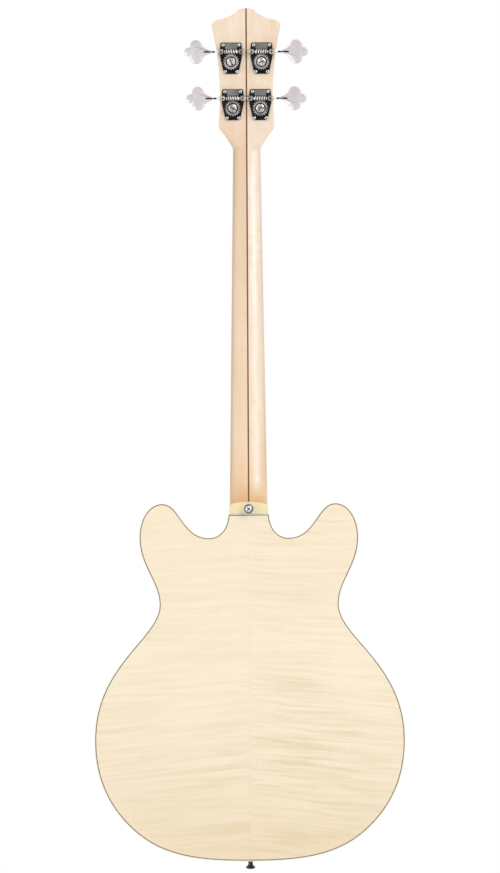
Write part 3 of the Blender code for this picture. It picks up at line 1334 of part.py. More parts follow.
def make_strap_buttons():
    seat_y = -HEEL_DEPTH - GLUE_GAP - HEEL_CAP_THICKNESS - GLUE_GAP
    backwards = Matrix(((1, 0, 0, 0), (0, 0, -1, seat_y), (0, 1, 0, HEEL_BUTTON_Z), (0, 0, 0, 1)))
    add_object("heel_strap_button", *button_shape(), CHROME, backwards)
    downwards = Matrix(((1, 0, 0, 0), (0, 1, 0, RIM_MID_Y), (0, 0, -1, BODY_BOTTOM_Z - SEAT_GAP), (0, 0, 0, 1)))
    add_object("end_strap_button", *button_shape(), CHROME, downwards)


def main():
    tongue_space, tenon_space = joint_cutters()
    layouts = plate_layouts()
    top_plate = make_plates(layouts)
    binding_top = make_bindings()
    make_sides()
    block = make_center_block(layouts)
    for obj in (top_plate, binding_top, block):
        combine(obj, tongue_space, "DIFFERENCE")
    combine(block, tenon_space, "DIFFERENCE")
    neck_pieces = make_neck()
    channel, pocket = truss_cutters()
    make_head_details(neck_pieces, channel, pocket)
    make_truss_rod()
    make_heel_cap()
    make_fingerboard()
    make_nut()
    make_tuners()
    make_strings()
    check_wraps()
    make_bridge()
    make_saddles()
    make_pickups()
    make_controls()
    make_jack()
    make_strap_buttons()


main()
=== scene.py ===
"""Looks of the semi-hollow bass guitar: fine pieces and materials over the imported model.

The frame is the model's own: +Z up the neck, +Y out of the front, +X on the bass side, with the
origin at the nut. Lengths are in metres; millimetres are written times MM or go through mm().
"""

import math
import random

import bmesh
import bpy
import numpy as np
from mathutils import Matrix, Vector
from mathutils.geometry import delaunay_2d_cdt


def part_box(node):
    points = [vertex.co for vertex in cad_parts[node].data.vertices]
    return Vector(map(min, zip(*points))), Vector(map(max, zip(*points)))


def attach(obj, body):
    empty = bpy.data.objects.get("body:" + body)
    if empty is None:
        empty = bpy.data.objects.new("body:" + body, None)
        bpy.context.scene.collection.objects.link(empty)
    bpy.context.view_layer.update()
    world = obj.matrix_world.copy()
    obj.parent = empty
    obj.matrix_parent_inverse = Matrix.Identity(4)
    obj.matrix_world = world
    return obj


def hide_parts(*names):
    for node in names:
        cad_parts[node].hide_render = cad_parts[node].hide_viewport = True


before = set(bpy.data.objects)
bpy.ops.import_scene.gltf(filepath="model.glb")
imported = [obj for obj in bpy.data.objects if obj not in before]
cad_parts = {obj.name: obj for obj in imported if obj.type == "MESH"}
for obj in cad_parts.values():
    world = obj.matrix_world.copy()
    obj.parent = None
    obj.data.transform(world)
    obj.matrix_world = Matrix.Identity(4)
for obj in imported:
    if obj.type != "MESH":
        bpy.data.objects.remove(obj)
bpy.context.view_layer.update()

MM = 0.001
ROOT = "instrument"
LETTERS = ("E", "A", "D", "G")

# Body
BODY_LENGTH = 469.5 * MM
BODY_HALF_WIDTH = 210.0 * MM
BODY_BOTTOM_Z = -969.1 * MM
RIM_TOP_Y = -8.0 * MM
RIM_BACK_Y = -52.0 * MM
RIM_MID_Y = (RIM_TOP_Y + RIM_BACK_Y) / 2
PLATE = 5.0 * MM
PLATE_SEAM = 0.05 * MM
BINDING = 1.15 * MM
PURFLING = 1.3 * MM
SIDE_WALL = 3.2 * MM
LINING_LEDGE = 9.2 * MM
LINING_LIP = 2 * MM
LINING_SLOPE_END = 12 * MM
CUTAWAY_END_HALF = 28.0 * MM
ARCH_RISE = 6.0 * MM
ARCH_RUN = 60.0 * MM
ARCH_MARGIN = 11.0 * MM
ARCH_SOFT = 9.0 * MM
ARCH_GRID = 11 * MM
JOINT_Z = BODY_BOTTOM_Z + BODY_LENGTH
SOUND_HOLE = (122.0 * MM, 246.0 * MM)
OUTLINE_DENSITY = 5

# Neck and head
SCALE_LENGTH = 781.0 * MM
NUT_HALF = 19.0 * MM
HEEL_HALF = 26.2 * MM
STRIPE_HALF = 1.0 * MM
STRIPE_GAP = 0.02 * MM
NECK_DEPTH_NUT = 15.5 * MM
NECK_DEPTH_HEEL = 18.5 * MM
HEEL_DEPTH = 48.5 * MM
HEEL_START_Z = JOINT_Z + 0.03 * MM
CAP_THICKNESS = 3.4 * MM
CAP_LENGTH = 16.0 * MM
TENON_END_Z = JOINT_Z - 62 * MM
TENON_HALF = 18 * MM
TENON_STEP_Y = -12.8 * MM
TENON_DEPTH = 45.6 * MM
RIM_STEPS = 13
HEAD_TILT = math.radians(13)
HEAD_THICKNESS = 15.0 * MM
VENEER = 1.5 * MM
HEAD_LENGTH = 189.4 * MM
HEAD_BACK_W = -(HEAD_THICKNESS + VENEER)
BOARD_THICKNESS = 6.0 * MM
BOARD_RADIUS = 305.0 * MM
FRETS = 21
BOARD_PAST_LAST_FRET = 10.0 * MM
DOT_FRETS = (3, 5, 7, 9, 12, 15, 17, 19, 21)

# Tuners: place across and up the head, and the side that the key points to
TUNER_SPOTS = {
    "E": (18.7 * MM, 57.0 * MM, 1),
    "A": (20.6 * MM, 119.1 * MM, 1),
    "D": (-20.6 * MM, 119.1 * MM, -1),
    "G": (-18.7 * MM, 57.0 * MM, -1),
}
SLOT_ANGLES = {"E": 52, "A": 19, "D": 67, "G": 25}
PLATE_TOP_W = HEAD_BACK_W - 0.1 * MM - 1.6 * MM
GEAR_TEETH = 20
GEAR_RADIUS = 10.3 * MM
GEAR_THICKNESS = 3.2 * MM
WORM_RADIUS = 2.9 * MM
WORM_TURNS = 5
TOOTH_TIP = 0.7 * MM
TOOTH_ROOT = 0.9 * MM
TOOTH_PLAY = 0.3 * MM
WORM_PITCH = 2 * math.pi * GEAR_RADIUS / GEAR_TEETH
WORM_HALF = WORM_TURNS * WORM_PITCH / 2
GEAR_TO_WORM = GEAR_RADIUS + WORM_RADIUS
GEAR_MID_W = PLATE_TOP_W - WORM_RADIUS - TOOTH_TIP - 0.5 * MM
SHAFT_RADIUS = 2.2 * MM
LUG_INNER = 10.8 * MM
LUG_OUTER = 16.6 * MM
LUG_REACH = 3.7 * MM
KEY_CENTRE = 50.5 * MM
POST_HOLE = 5.3 * MM

# Strings: bass to treble
STRING_DIAMETERS = (2.67 * MM, 2.16 * MM, 1.65 * MM, 1.14 * MM)
NUT_SPACING = 9.7 * MM
NUT_HEIGHT = 8.8 * MM
NUT_SLOT_Y = 7.7 * MM
BRIDGE_SPACING = 17.5 * MM
BRIDGE_FLOOR_TOP = 0.8 * MM
BRIDGE_WALL_Z = -SCALE_LENGTH - 47 * MM
SADDLE_TOP_Y = 11.1 * MM
ANCHOR_Y = 9.6 * MM
COIL_RADIUS = 4.3 * MM
COIL_STEPS = 48
WINDING_PITCH = 0.6 * MM

# Front fittings
PICKUP_Z = {"neck": -587.1 * MM, "bridge": -728.5 * MM}
PICKUP_HALF_WIDTH = 45.0 * MM
PICKUP_HALF_LENGTH = 16.5 * MM
PICKUP_PLAY = 0.3 * MM
KNOBS = {
    "bridge_volume": (-84 * MM, -871.1 * MM),
    "bridge_tone": (-126 * MM, -861.1 * MM),
    "neck_volume": (-92 * MM, -821.1 * MM),
    "neck_tone": (-134 * MM, -811.1 * MM),
}
KNOB_HEIGHT = 15.0 * MM
KNOB_FLUTES = 24
FLUTE_DEPTH, FLUTES_FROM, FLUTES_TO = 0.28, 5.0, 14.0  # millimetres
SWITCH_SPOT = (-88 * MM, -585.1 * MM)
JACK_SPOT = (-165 * MM, -845.1 * MM)
HEEL_BUTTON_Z = JOINT_Z + 7.0 * MM

# Camera, as the photograph was taken, and the studio
CAMERA_DISTANCE = 2.63
CAMERA_AIM = (2.3 * MM, -55 * MM, -395.5 * MM)
CAMERA_ROLL = math.radians(0.31)
FRAME_HEIGHT = 1.1768
FLOOR_Z = -1.25
FLOOR_RADIUS = 1.1
LIGHT_AIM = (0, 0, -0.45)
WORLD_STRENGTH = 0.75
LIGHTS = {
    "key_light": ((1.6, -2.4, 0.9), (1.1, 1.9), 29),
    "fill_light": ((-2.2, -2.0, -0.2), (2.4, 2.4), 14),
    "front_light": ((1.2, 2.6, 0.8), (5.0, 5.0), 32),
}


# Placing


def axes(u, v, w, origin=(0, 0, 0)):
    """A frame whose u, v and w point along three directions."""
    return Matrix.Translation(origin) @ Matrix((u, v, w)).transposed().to_4x4()


def facing_at(x, y, z):
    """A frame whose v points up and whose w points out of the front."""
    return axes((1, 0, 0), (0, 0, 1), (0, 1, 0), (x, y, z))


def lying_at(x):
    """A frame whose w points along x."""
    return axes((0, 1, 0), (0, 0, 1), (1, 0, 0), (x, 0, 0))


UPRIGHT = Matrix.Identity(4)
BODY = facing_at(0, 0, BODY_BOTTOM_Z)
TILT_COS, TILT_SIN = math.cos(HEAD_TILT), math.sin(HEAD_TILT)
HEAD = axes((1, 0, 0), (0, -TILT_SIN, TILT_COS), (0, TILT_COS, TILT_SIN))


# Flat outlines


def mm(pairs, u=0.0, v=0.0):
    """Pairs of millimetres as metres, counted from u and v."""
    return [(u + a * MM, v + b * MM) for a, b in pairs]


def bezier(start, start_handle, end_handle, end, steps):
    points = []
    for i in range(1, steps + 1):
        t = i / steps
        s = 1 - t
        weights = (s**3, 3 * s * s * t, 3 * s * t * t, t**3)
        corners = (start, start_handle, end_handle, end)
        points.append(tuple(sum(w * p[k] for w, p in zip(weights, corners)) for k in (0, 1)))
    return points


def chain(keys, steps, base=0.0):
    """A smooth line through keys of x, y, heading in degrees, and handles before and after."""
    keys = [(x * MM, base + y * MM, math.radians(a), b * MM, c * MM) for x, y, a, b, c in keys]
    points = [keys[0][:2]]
    for (x0, y0, a0, _, after), (x1, y1, a1, before, _), count in zip(keys, keys[1:], steps):
        leave = (x0 + after * math.cos(a0), y0 + after * math.sin(a0))
        arrive = (x1 - before * math.cos(a1), y1 - before * math.sin(a1))
        points += bezier((x0, y0), leave, arrive, (x1, y1), count)
    return points


def mirrored(half):
    return [(-x, y) for x, y in reversed(half)]


def body_half_outline(density):
    keys = [
        (0, 0, 0, 0, 72),
        (156.8, 41.2, 42, 51, 57),
        (BODY_HALF_WIDTH / MM, 164, 90, 40, 103),
        (121.8, 347, 90, 44, 31),
        (148.5, 437, 90, 38, 29),
        (117.2, 484, 180, 16, 26),
        (53.5, 437.6, 180, 36, 12),
        (CUTAWAY_END_HALF / MM, BODY_LENGTH / MM, 93, 22, 0),
    ]
    return chain(keys, [n * density for n in (5, 5, 9, 5, 5, 6, 5)])


def body_outline(density):
    half = body_half_outline(density)
    return half + mirrored(half[1:])


def head_half_outline(density):
    keys = [
        (NUT_HALF / MM, 0, 68, 0, 9),
        (36.4, 27.6, 47, 9, 2),
        (38.0, 33.5, 92, 3, 12),
        (35.9, 75, 90, 14, 34),
        (46.2, 164.8, 77, 22, 3),
        (43.2, 172.3, 150, 3, 8),
        (22.5, 179.2, 152, 9, 4),
        (11.6, 186.6, 125, 4, 3),
        (0, HEAD_LENGTH / MM, 180, 6, 0),
    ]
    return chain(keys, [n * density for n in (5, 2, 3, 6, 2, 3, 3, 3)])


def offset_loop(loop, distance):
    if not distance:
        return loop
    points = np.array(loop)
    before = points - np.roll(points, 1, 0)
    after = np.roll(points, -1, 0) - points
    before /= np.linalg.norm(before, axis=1)[:, None]
    after /= np.linalg.norm(after, axis=1)[:, None]
    n0 = np.stack((-before[:, 1], before[:, 0]), 1)
    n1 = np.stack((-after[:, 1], after[:, 0]), 1)
    miter = n0 + n1
    miter /= np.linalg.norm(miter, axis=1)[:, None]
    reach = distance / np.maximum((miter * n0).sum(1), 0.5)
    return [tuple(p) for p in points + miter * reach[:, None]]


def circle(centre, radius, sides, start=0.0):
    angles = [start + i * 2 * math.pi / sides for i in range(sides)]
    return [(centre[0] + radius * math.cos(a), centre[1] + radius * math.sin(a)) for a in angles]


def rounded_rectangle(half_x, half_y, radius, centre, steps):
    points = []
    for k, (sx, sy) in enumerate(((1, 1), (-1, 1), (-1, -1), (1, -1))):
        cx, cy = centre[0] + sx * (half_x - radius), centre[1] + sy * (half_y - radius)
        for i in range(steps + 1):
            a = math.pi / 2 * (k + i / steps)
            points.append((cx + radius * math.cos(a), cy + radius * math.sin(a)))
    return points


def inside(points, loop):
    """Which of the points lie inside the loop, as an array of booleans."""
    points = np.atleast_2d(points)
    loop = np.array(loop)
    x1, y1 = loop[:, 0], loop[:, 1]
    x0, y0 = np.roll(x1, 1), np.roll(y1, 1)
    x, y = points[:, 0][:, None], points[:, 1][:, None]
    with np.errstate(divide="ignore", invalid="ignore"):
        crossing = x0 + (y - y0) * (x1 - x0) / (y1 - y0)
    hits = ((y0 > y) != (y1 > y)) & (x < crossing)
    return hits.sum(1) % 2 == 1


# Solid shapes, as (verts, faces)


def slab(loops, low, high, inner_points=()):
    """A flat or curved slab; low and high are heights or functions of an array of (u, v)."""
    points, edges = [], []
    for loop in loops:
        start = len(points)
        points += [Vector(p) for p in loop]
        edges += [(start + i, start + (i + 1) % len(loop)) for i in range(len(loop))]
    points += [Vector(p) for p in inner_points]
    made = delaunay_2d_cdt(points, edges, [], 0, 1e-7)
    flat = np.array([tuple(p) for p in made[0]])
    middles = np.array([flat[list(f)].mean(0) for f in made[2]])
    keep = inside(middles, loops[0])
    for hole in loops[1:]:
        keep &= ~inside(middles, hole)
    faces = [tuple(f) for f, k in zip(made[2], keep) if k]
    used = sorted({i for face in faces for i in face})
    place = {old: new for new, old in enumerate(used)}
    flat = flat[used]
    count = len(used)

    def at(level):
        heights = level(flat) if callable(level) else np.full(count, level)
        return [(*p, h) for p, h in zip(flat, heights)]

    bottom = [tuple(place[i] for i in face) for face in faces]
    top = [tuple(i + count for i in face) for face in bottom]
    seen = {}
    for face in bottom:
        for a, b in zip(face, face[1:] + face[:1]):
            seen[frozenset((a, b))] = seen.get(frozenset((a, b)), 0) + 1
    walls = [tuple(edge) for edge, uses in seen.items() if uses == 1]
    return at(low) + at(high), bottom + top + [(a, b, b + count, a + count) for a, b in walls]


def quads(rings, n, closed=False):
    """Faces between successive rings of n points; closed joins the last ring to the first."""
    pairs = [(k * n, (k + 1) % rings * n) for k in range(rings if closed else rings - 1)]
    return [(a + i, a + (i + 1) % n, b + (i + 1) % n, b + i) for a, b in pairs for i in range(n)]


def lofted_faces(rings, n):
    last = (rings - 1) * n
    return quads(rings, n) + [tuple(range(n)), tuple(last + k for k in range(n))]


def ring(outline, profile):
    """A closed band round an outline; the profile lists (distance inwards, w) once round."""
    verts = [(*p, w) for d, w in profile for p in offset_loop(outline, d)]
    return verts, quads(len(profile), len(outline), True)


def solid(outline, layers):
    """A solid stacked from insets of one outline; layers list (distance inwards, w)."""
    verts = [(*p, w) for d, w in layers for p in offset_loop(outline, d)]
    return verts, lofted_faces(len(layers), len(outline))


def turned(profile, sides, centre=(0, 0, 0)):
    """A solid of revolution about w from a profile of (radius, w)."""
    verts, faces = [], []
    x, y, z = centre
    n = len(profile)
    for i in range(sides):
        a = 2 * math.pi * i / sides
        verts += [(x + r * math.cos(a), y + r * math.sin(a), z + w) for r, w in profile]
    for i in range(sides):
        j = (i + 1) % sides
        for k in range(n):
            m = (k + 1) % n
            if profile[k][0] == 0 and profile[m][0] == 0:
                continue
            faces.append((i * n + k, j * n + k, j * n + m, i * n + m))
    return verts, faces


def rod(radius, low, high, sides, centre=(0, 0, 0)):
    return turned([(0, low), (radius, low), (radius, high), (0, high)], sides, centre)


def joined(*shapes):
    verts, faces = [], []
    for more_verts, more_faces in shapes:
        start = len(verts)
        verts += list(more_verts)
        faces += [tuple(i + start for i in face) for face in more_faces]
    return verts, faces


def moved(shape, matrix):
    return [tuple(matrix @ Vector(v)) for v in shape[0]], shape[1]


def box(x0, x1, y0, y1, z0, z1):
    verts = [(x, y, z) for z in (z0, z1) for x, y in ((x0, y0), (x1, y0), (x1, y1), (x0, y1))]
    return verts, [(0, 1, 2, 3), (4, 5, 6, 7), (0, 1, 5, 4), (1, 2, 6, 5), (2, 3, 7, 6), (3, 0, 4, 7)]


def tube(points, radii, sides):
    points = [Vector(p) for p in points]
    verts, side = [], None
    for i, p in enumerate(points):
        ahead = (points[min(i + 1, len(points) - 1)] - points[max(i - 1, 0)]).normalized()
        side = ahead.orthogonal().normalized() if side is None else side
        side = (side - ahead * side.dot(ahead)).normalized()
        other = ahead.cross(side)
        for k in range(sides):
            a = 2 * math.pi * k / sides
            verts.append(tuple(p + (side * math.cos(a) + other * math.sin(a)) * radii[i]))
    return verts, lofted_faces(len(points), sides)


# Objects


def linked(name, data):
    obj = bpy.data.objects.new(name, data)
    bpy.context.scene.collection.objects.link(obj)
    return obj


def mesh_object(name, shape, matrix):
    mesh = bpy.data.meshes.new(name)
    mesh.from_pydata([matrix @ Vector(v) for v in shape[0]], [], shape[1])
    bm = bmesh.new()
    bm.from_mesh(mesh)
    bmesh.ops.remove_doubles(bm, verts=bm.verts, dist=1e-6)
    bmesh.ops.dissolve_degenerate(bm, edges=bm.edges, dist=1e-6)
    bmesh.ops.recalc_face_normals(bm, faces=bm.faces)
    bm.to_mesh(mesh)
    bm.free()
    return linked(name, mesh)


def piece(name, shape, material, matrix=UPRIGHT, body=ROOT, replaces=(), sharp=35, origin=None):
    """A closed mesh object that rides a body of the frame."""
    obj = mesh_object(name, shape, matrix)
    mesh = obj.data
    mesh.materials.append(material)
    mesh.shade_smooth()
    mesh.set_sharp_from_angle(angle=math.radians(sharp))
    if origin is not None:
        mesh.transform(Matrix.Translation(-Vector(origin)))
        obj.location = Vector(origin)
    if replaces:
        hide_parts(*replaces)
    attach(obj, body)
    return obj


def cutter(name, shape, matrix=UPRIGHT):
    """A hidden shape to cut with."""
    obj = mesh_object(name, shape, matrix)
    obj.hide_render = True
    obj.display_type = "WIRE"
    return obj


def cut(obj, *cutters):
    for tool in cutters:
        modifier = obj.modifiers.new("difference", "BOOLEAN")
        modifier.object = tool
        modifier.operation = "DIFFERENCE"
        modifier.solver = "EXACT"


def soften(obj, width, angle=40):
    modifier = obj.modifiers.new("soften", "BEVEL")
    modifier.width = width
    modifier.segments = 2
    modifier.limit_method = "ANGLE"
    modifier.angle_limit = math.radians(angle)
    modifier.harden_normals = True


# Materials

COAT_ROUGHNESS = 0.05


class Field:
    """A number or colour that varies over a surface; arithmetic with it adds nodes."""

    def __init__(self, shader, socket):
        self.shader, self.socket = shader, socket

    def __add__(self, other):
        return self.shader.math("ADD", self, other)

    def __mul__(self, other):
        return self.shader.math("MULTIPLY", self, other)

    def __sub__(self, other):
        return self.shader.math("SUBTRACT", self, other)

    def __rsub__(self, other):
        return self.shader.math("SUBTRACT", other, self)

    def __truediv__(self, other):
        return self.shader.math("DIVIDE", self, other)

    def __abs__(self):
        return self.shader.math("ABSOLUTE", self)

    def stretch(self, low, high, to_low=0.0, to_high=1.0):
        """The value carried from low...high to to_low...to_high, and held at the ends."""
        inputs = {"Value": self, "From Min": low, "From Max": high, "To Min": to_low, "To Max": to_high}
        return self.shader.node("MapRange", inputs, "Result", clamp=True)


class Shader:
    """A Principled material built from procedural nodes."""

    def __init__(self, name, slot, roughness, metallic=0.0, coat=0.0):
        self.material = bpy.data.materials.new(name)
        self.material.use_nodes = True
        self.tree = self.material.node_tree
        self.set("Roughness", roughness)
        self.set("Metallic", metallic)
        self.set("Coat Weight", coat)
        self.set("Coat Roughness", COAT_ROUGHNESS)

    def feed(self, socket, value):
        if isinstance(value, Field):
            self.tree.links.new(value.socket, socket)
        else:
            socket.default_value = value

    def set(self, name, value):
        """Gives a value to an input of the surface."""
        self.feed(self.tree.nodes["Principled BSDF"].inputs[name], value)

    def node(self, kind, inputs, output, **settings):
        """Adds a node with its settings and inputs, and gives back one of its outputs."""
        made = self.tree.nodes.new("ShaderNode" + kind)
        for key, value in settings.items():
            setattr(made, key, value)
        for key, value in inputs.items():
            self.feed(made.inputs[key], value)
        return Field(self, made.outputs[output])

    def place(self, scale=(1, 1, 1), offset=(0, 0, 0)):
        """The object's own coordinates in metres, scaled."""
        inputs = {"Vector": self.node("TexCoord", {}, "Object"), "Scale": scale, "Location": offset}
        return self.node("Mapping", inputs, "Vector")

    def along(self, axis):
        return self.node("SeparateXYZ", {"Vector": self.place()}, axis)

    def combine(self, x, y, z):
        return self.node("CombineXYZ", {"X": x, "Y": y, "Z": z}, "Vector")

    def math(self, operation, a, b=0.0):
        return self.node("Math", {0: a, 1: b}, "Value", operation=operation)

    def noise(self, vector, detail=2.0, roughness=0.5):
        inputs = {"Vector": vector, "Scale": 1.0, "Detail": detail, "Roughness": roughness}
        return self.node("TexNoise", inputs, "Fac")

    def mix(self, factor, a, b):
        """The colour between a and b, each a field or three numbers."""
        a, b = [(*colour, 1) if isinstance(colour, tuple) else colour for colour in (a, b)]
        return self.node("Mix", {"Factor": factor, "A": a, "B": b}, "Result", data_type="RGBA")

    def graded(self, value, stops):
        """A colour ramp over value; the stops list (value, colour) in rising order."""
        first, last = stops[0][0], stops[-1][0]
        ramp = self.node("ValToRGB", {0: value.stretch(first, last)}, "Color")
        points = ramp.socket.node.color_ramp.elements
        for i, (at, colour) in enumerate(stops):
            share = (at - first) / (last - first)
            point = points[i] if i < 2 else points.new(share)
            point.position = share
            point.color = (*colour, 1)
        return ramp


def wood(name, slot, light, dark, roughness, coat, seed, pore=0.25, across=(900, 900, 14)):
    """Straight-grained wood along +Z with fine lines and pores."""
    s = Shader(name, slot, roughness, coat=coat)
    lines = s.noise(s.place(across, (seed, seed, 0)), 3, 0.6)
    broad = s.noise(s.place((60, 60, 5), (0, 0, seed)))
    tone = lines * pore + broad * (1 - pore)
    s.set("Base Color", s.mix(tone.stretch(0.3, 0.7), light, dark))
    s.set("Roughness", lines.stretch(0.3, 0.7, roughness - 0.05, roughness + 0.08))
    return s.material


def flamed_maple(name, dark, slope, seed, strength=1.0):
    """Maple with thin cross bands that fall away from the seam, book-matched but not quite alike."""
    s = Shader(name, "flamed_maple", 0.3, coat=0.6)
    x, z = s.along("X"), s.along("Z")
    away = abs(x)
    bass_half = s.math("GREATER_THAN", x, 0.0)
    lean = z.stretch(BODY_BOTTOM_Z, JOINT_Z, slope * 1.5, slope * 0.6)
    wander = s.noise(s.combine(x * 11, seed, z * 10))
    height = z + away * lean + bass_half * 0.0031 + wander * 0.009
    rows = height / BAND_PERIOD

    bands = s.noise(s.combine(x * 10, seed + 3, rows)).stretch(0.42, 0.74)
    thin = s.noise(s.combine(x * 22, seed + 7, rows * 2.2)).stretch(0.45, 0.8)
    wide = s.noise(s.combine(x * 6, seed + 5, rows * 0.36), 1).stretch(0.5, 0.75)
    patch = s.noise(s.combine(x * 9, seed + 1, z * 8)).stretch(0.32, 0.62, 0.4, 1.0)
    share = z.stretch(BODY_BOTTOM_Z + 0.12, BODY_BOTTOM_Z + 0.36, 0.92, 0.5)
    share = share * x.stretch(-0.01, 0.01, 0.8, 1.2)
    streak = (bands + thin * 0.4 + wide * 0.45) * (patch * share)

    low_patch = x.stretch(-0.115, -0.03) * (1.0 - bass_half)
    drop = abs(height - (BODY_BOTTOM_Z + 0.052))
    streak = streak + low_patch * drop.stretch(0.004, 0.011, 0.5, 0.0)
    grain = s.noise(s.place((420, 420, 10), (seed, 0, 0)), 3, 0.6)
    seam = away.stretch(0.0, 0.0006, 0.2, 0.0)
    tone = streak * (0.62 * strength) + grain.stretch(0.35, 0.75) * 0.1 + seam
    s.set("Base Color", s.mix(tone, s.graded(z, BODY_TONES), dark))
    s.set("Roughness", grain.stretch(0.3, 0.7, 0.26, 0.36))
    return s.material


def graded_maple(name, tones, seed, pale=0.0):
    """Straight maple grain whose tone changes along the neck and deepens towards its edges in painted shade,
    with an optional painted highlight band.
    """
    s = Shader(name, "neck_maple", 0.34, coat=0.3)
    s.set("Specular IOR Level", 0.3)
    x, z = s.along("X"), s.along("Z")
    lines = s.noise(s.place((700, 700, 9), (seed, seed, 0)), 3, 0.6)
    broad = s.noise(s.place((70, 70, 7), (0, 0, seed)))
    ripple = s.noise(s.place((40, 40, 110), (0, seed, 0)))
    tone = lines.stretch(0.35, 0.7) * 0.22 + broad.stretch(0.35, 0.7) * 0.3
    tone = tone + ripple.stretch(0.5, 0.8) * 0.22
    tone_with_painted_light = s.mix(tone, s.graded(z, tones), (0.72, 0.5, 0.3))
    half = z.stretch(JOINT_Z, 0.0, HEEL_HALF, NUT_HALF)
    # Painted highlight: a pale band across the middle of the half's width, of strength pale, stands in for
    # the lamp's reflection on the rounded neck. It fades out at the heel and towards the head.
    if pale:
        wander = s.noise(s.place((3, 3, 25), (seed, 0, 0))).stretch(0.3, 0.7, -0.002, 0.002)
        across = (abs(x) + wander) / half
        band = across.stretch(0.16, 0.36) * across.stretch(0.48, 0.72, 1.0, 0.0)
        band = band * z.stretch(-0.48, -0.455) * z.stretch(-0.06, -0.01, pale, 0.0)
        tone_with_painted_light = s.mix(band, tone_with_painted_light, (0.97, 0.885, 0.79))
    # Painted shade: the colour darkens within 4.5 mm of the neck's edges, below the head.
    edge = (half - abs(x)).stretch(0.0, 0.0045, 0.7, 0.0) * z.stretch(-0.006, 0.0, 1.0, 0.0)
    s.set("Base Color", s.mix(edge, tone_with_painted_light, (0.5, 0.31, 0.17)))
    s.set("Roughness", lines.stretch(0.3, 0.7, 0.3, 0.42))
    return s.material


def plain(name, slot, colour, roughness, metallic=0.0, coat=0.0, variation=0.06, scale=300.0, span=0.08):
    """A smooth surface with slight mottling and uneven gloss."""
    s = Shader(name, slot, roughness, metallic, coat)
    fine = s.noise(s.place((scale,) * 3), 3)
    broad = s.noise(s.place((scale / 9,) * 3))
    darker = tuple(c * (1 - variation) for c in colour)
    lighter = tuple(min(c * (1 + variation), 1) for c in colour)
    s.set("Base Color", s.mix(broad.stretch(0.3, 0.7), darker, lighter))
    s.set("Roughness", fine.stretch(0.3, 0.7, max(roughness - span, 0.02), roughness + span))
    return s.material


def metal(name, slot, colour, roughness, variation, scale=300.0, span=0.08):
    return plain(name, slot, colour, roughness, 1.0, 0.0, variation, scale, span)


def wound_steel():
    """String winding: fine ridges along the string and a slightly uneven shine."""
    s = Shader("wound_string", "string_steel", 0.35, 1.0)
    ridges = s.math("SINE", s.along("Z") * (2 * math.pi / WINDING_PITCH))
    s.set("Normal", s.node("Bump", {"Height": ridges, "Distance": 0.00012, "Strength": 0.6}, "Normal"))
    s.set("Base Color", s.mix(s.noise(s.place((30, 30, 300)), 3), (0.62, 0.6, 0.56), (0.45, 0.43, 0.4)))
    return s.material


BAND_PERIOD = 0.0052
BODY_TONES = [
    (BODY_BOTTOM_Z, (0.85, 0.71, 0.49)),
    (BODY_BOTTOM_Z + 0.06, (0.875, 0.745, 0.54)),
    (BODY_BOTTOM_Z + 0.13, (0.91, 0.785, 0.595)),
    (BODY_BOTTOM_Z + 0.24, (0.93, 0.81, 0.62)),
    (JOINT_Z, (0.92, 0.79, 0.60)),
]
# Neck tones by height. The bass half is painted lighter and the treble half darker, as painted light and
# shade for light falling from the bass side. The deep amber rows from -0.484 to -0.455 are painted shade
# where the heel turns down.
NECK_TONES = [  # height, treble half, bass half
    (-0.484, (0.74, 0.40, 0.17), (0.74, 0.42, 0.17)),
    (-0.474, (0.82, 0.50, 0.25), (0.82, 0.54, 0.28)),
    (-0.455, (0.88, 0.63, 0.39), (0.89, 0.68, 0.45)),
    (-0.41, (0.88, 0.68, 0.49), (0.90, 0.73, 0.54)),
    (-0.2, (0.86, 0.66, 0.48), (0.92, 0.79, 0.66)),
    (-0.01, (0.80, 0.58, 0.41), (0.93, 0.82, 0.70)),
    (0.02, (0.84, 0.66, 0.50), (0.90, 0.77, 0.63)),
    (0.06, (0.90, 0.755, 0.60), (0.90, 0.755, 0.60)),
    (0.2, (0.90, 0.755, 0.60), (0.90, 0.755, 0.60)),
]
BACK_MAPLE = flamed_maple("back_flamed_maple", (0.71, 0.56, 0.33), 0.075, 2.0)
TOP_MAPLE = flamed_maple("top_flamed_maple", (0.71, 0.56, 0.33), 0.075, 8.0)
SIDE_MAPLE = flamed_maple("side_flamed_maple", (0.70, 0.54, 0.32), 0.0, 5.0, 0.8)
# Lit and shaded copies of one maple: the treble half carries painted shade, and the bass half carries
# painted light plus a painted highlight band of strength 0.6.
NECK_TREBLE_PAINTED_SHADE = graded_maple("neck_maple_treble_painted_shade", [(z, tone) for z, tone, _ in NECK_TONES], 3.0)
NECK_BASS_PAINTED_LIGHT_AND_SHADE = graded_maple("neck_maple_bass_painted_light_and_shade", [(z, tone) for z, _, tone in NECK_TONES], 9.0, 0.6)
WALNUT = wood("walnut_stripe", "walnut", (0.22, 0.085, 0.025), (0.1, 0.032, 0.009), 0.55, 0.0, 4.0)
SPRUCE = wood("block_spruce", "block_wood", (0.78, 0.6, 0.4), (0.62, 0.44, 0.26), 0.6, 0.0, 6.0)
ROSEWOOD = wood(
    "rosewood", "rosewood", (0.11, 0.055, 0.03), (0.035, 0.016, 0.01), 0.45, 0.1, 7.0, 0.5, (1400, 1400, 25)
)
IVORY = plain("ivory_binding", "ivory_plastic", (0.93, 0.88, 0.74), 0.25, coat=0.6, variation=0.03)
PURFLE = plain("dark_purfling", "walnut", (0.19, 0.17, 0.115), 0.4, coat=0.6, variation=0.1)
CREAM = plain("heel_cap_cream", "heel_cap_cream", (0.88, 0.74, 0.44), 0.3, coat=0.6, variation=0.03)
BONE = plain("nut_bone", "bone", (0.86, 0.8, 0.66), 0.4, variation=0.05, scale=500)
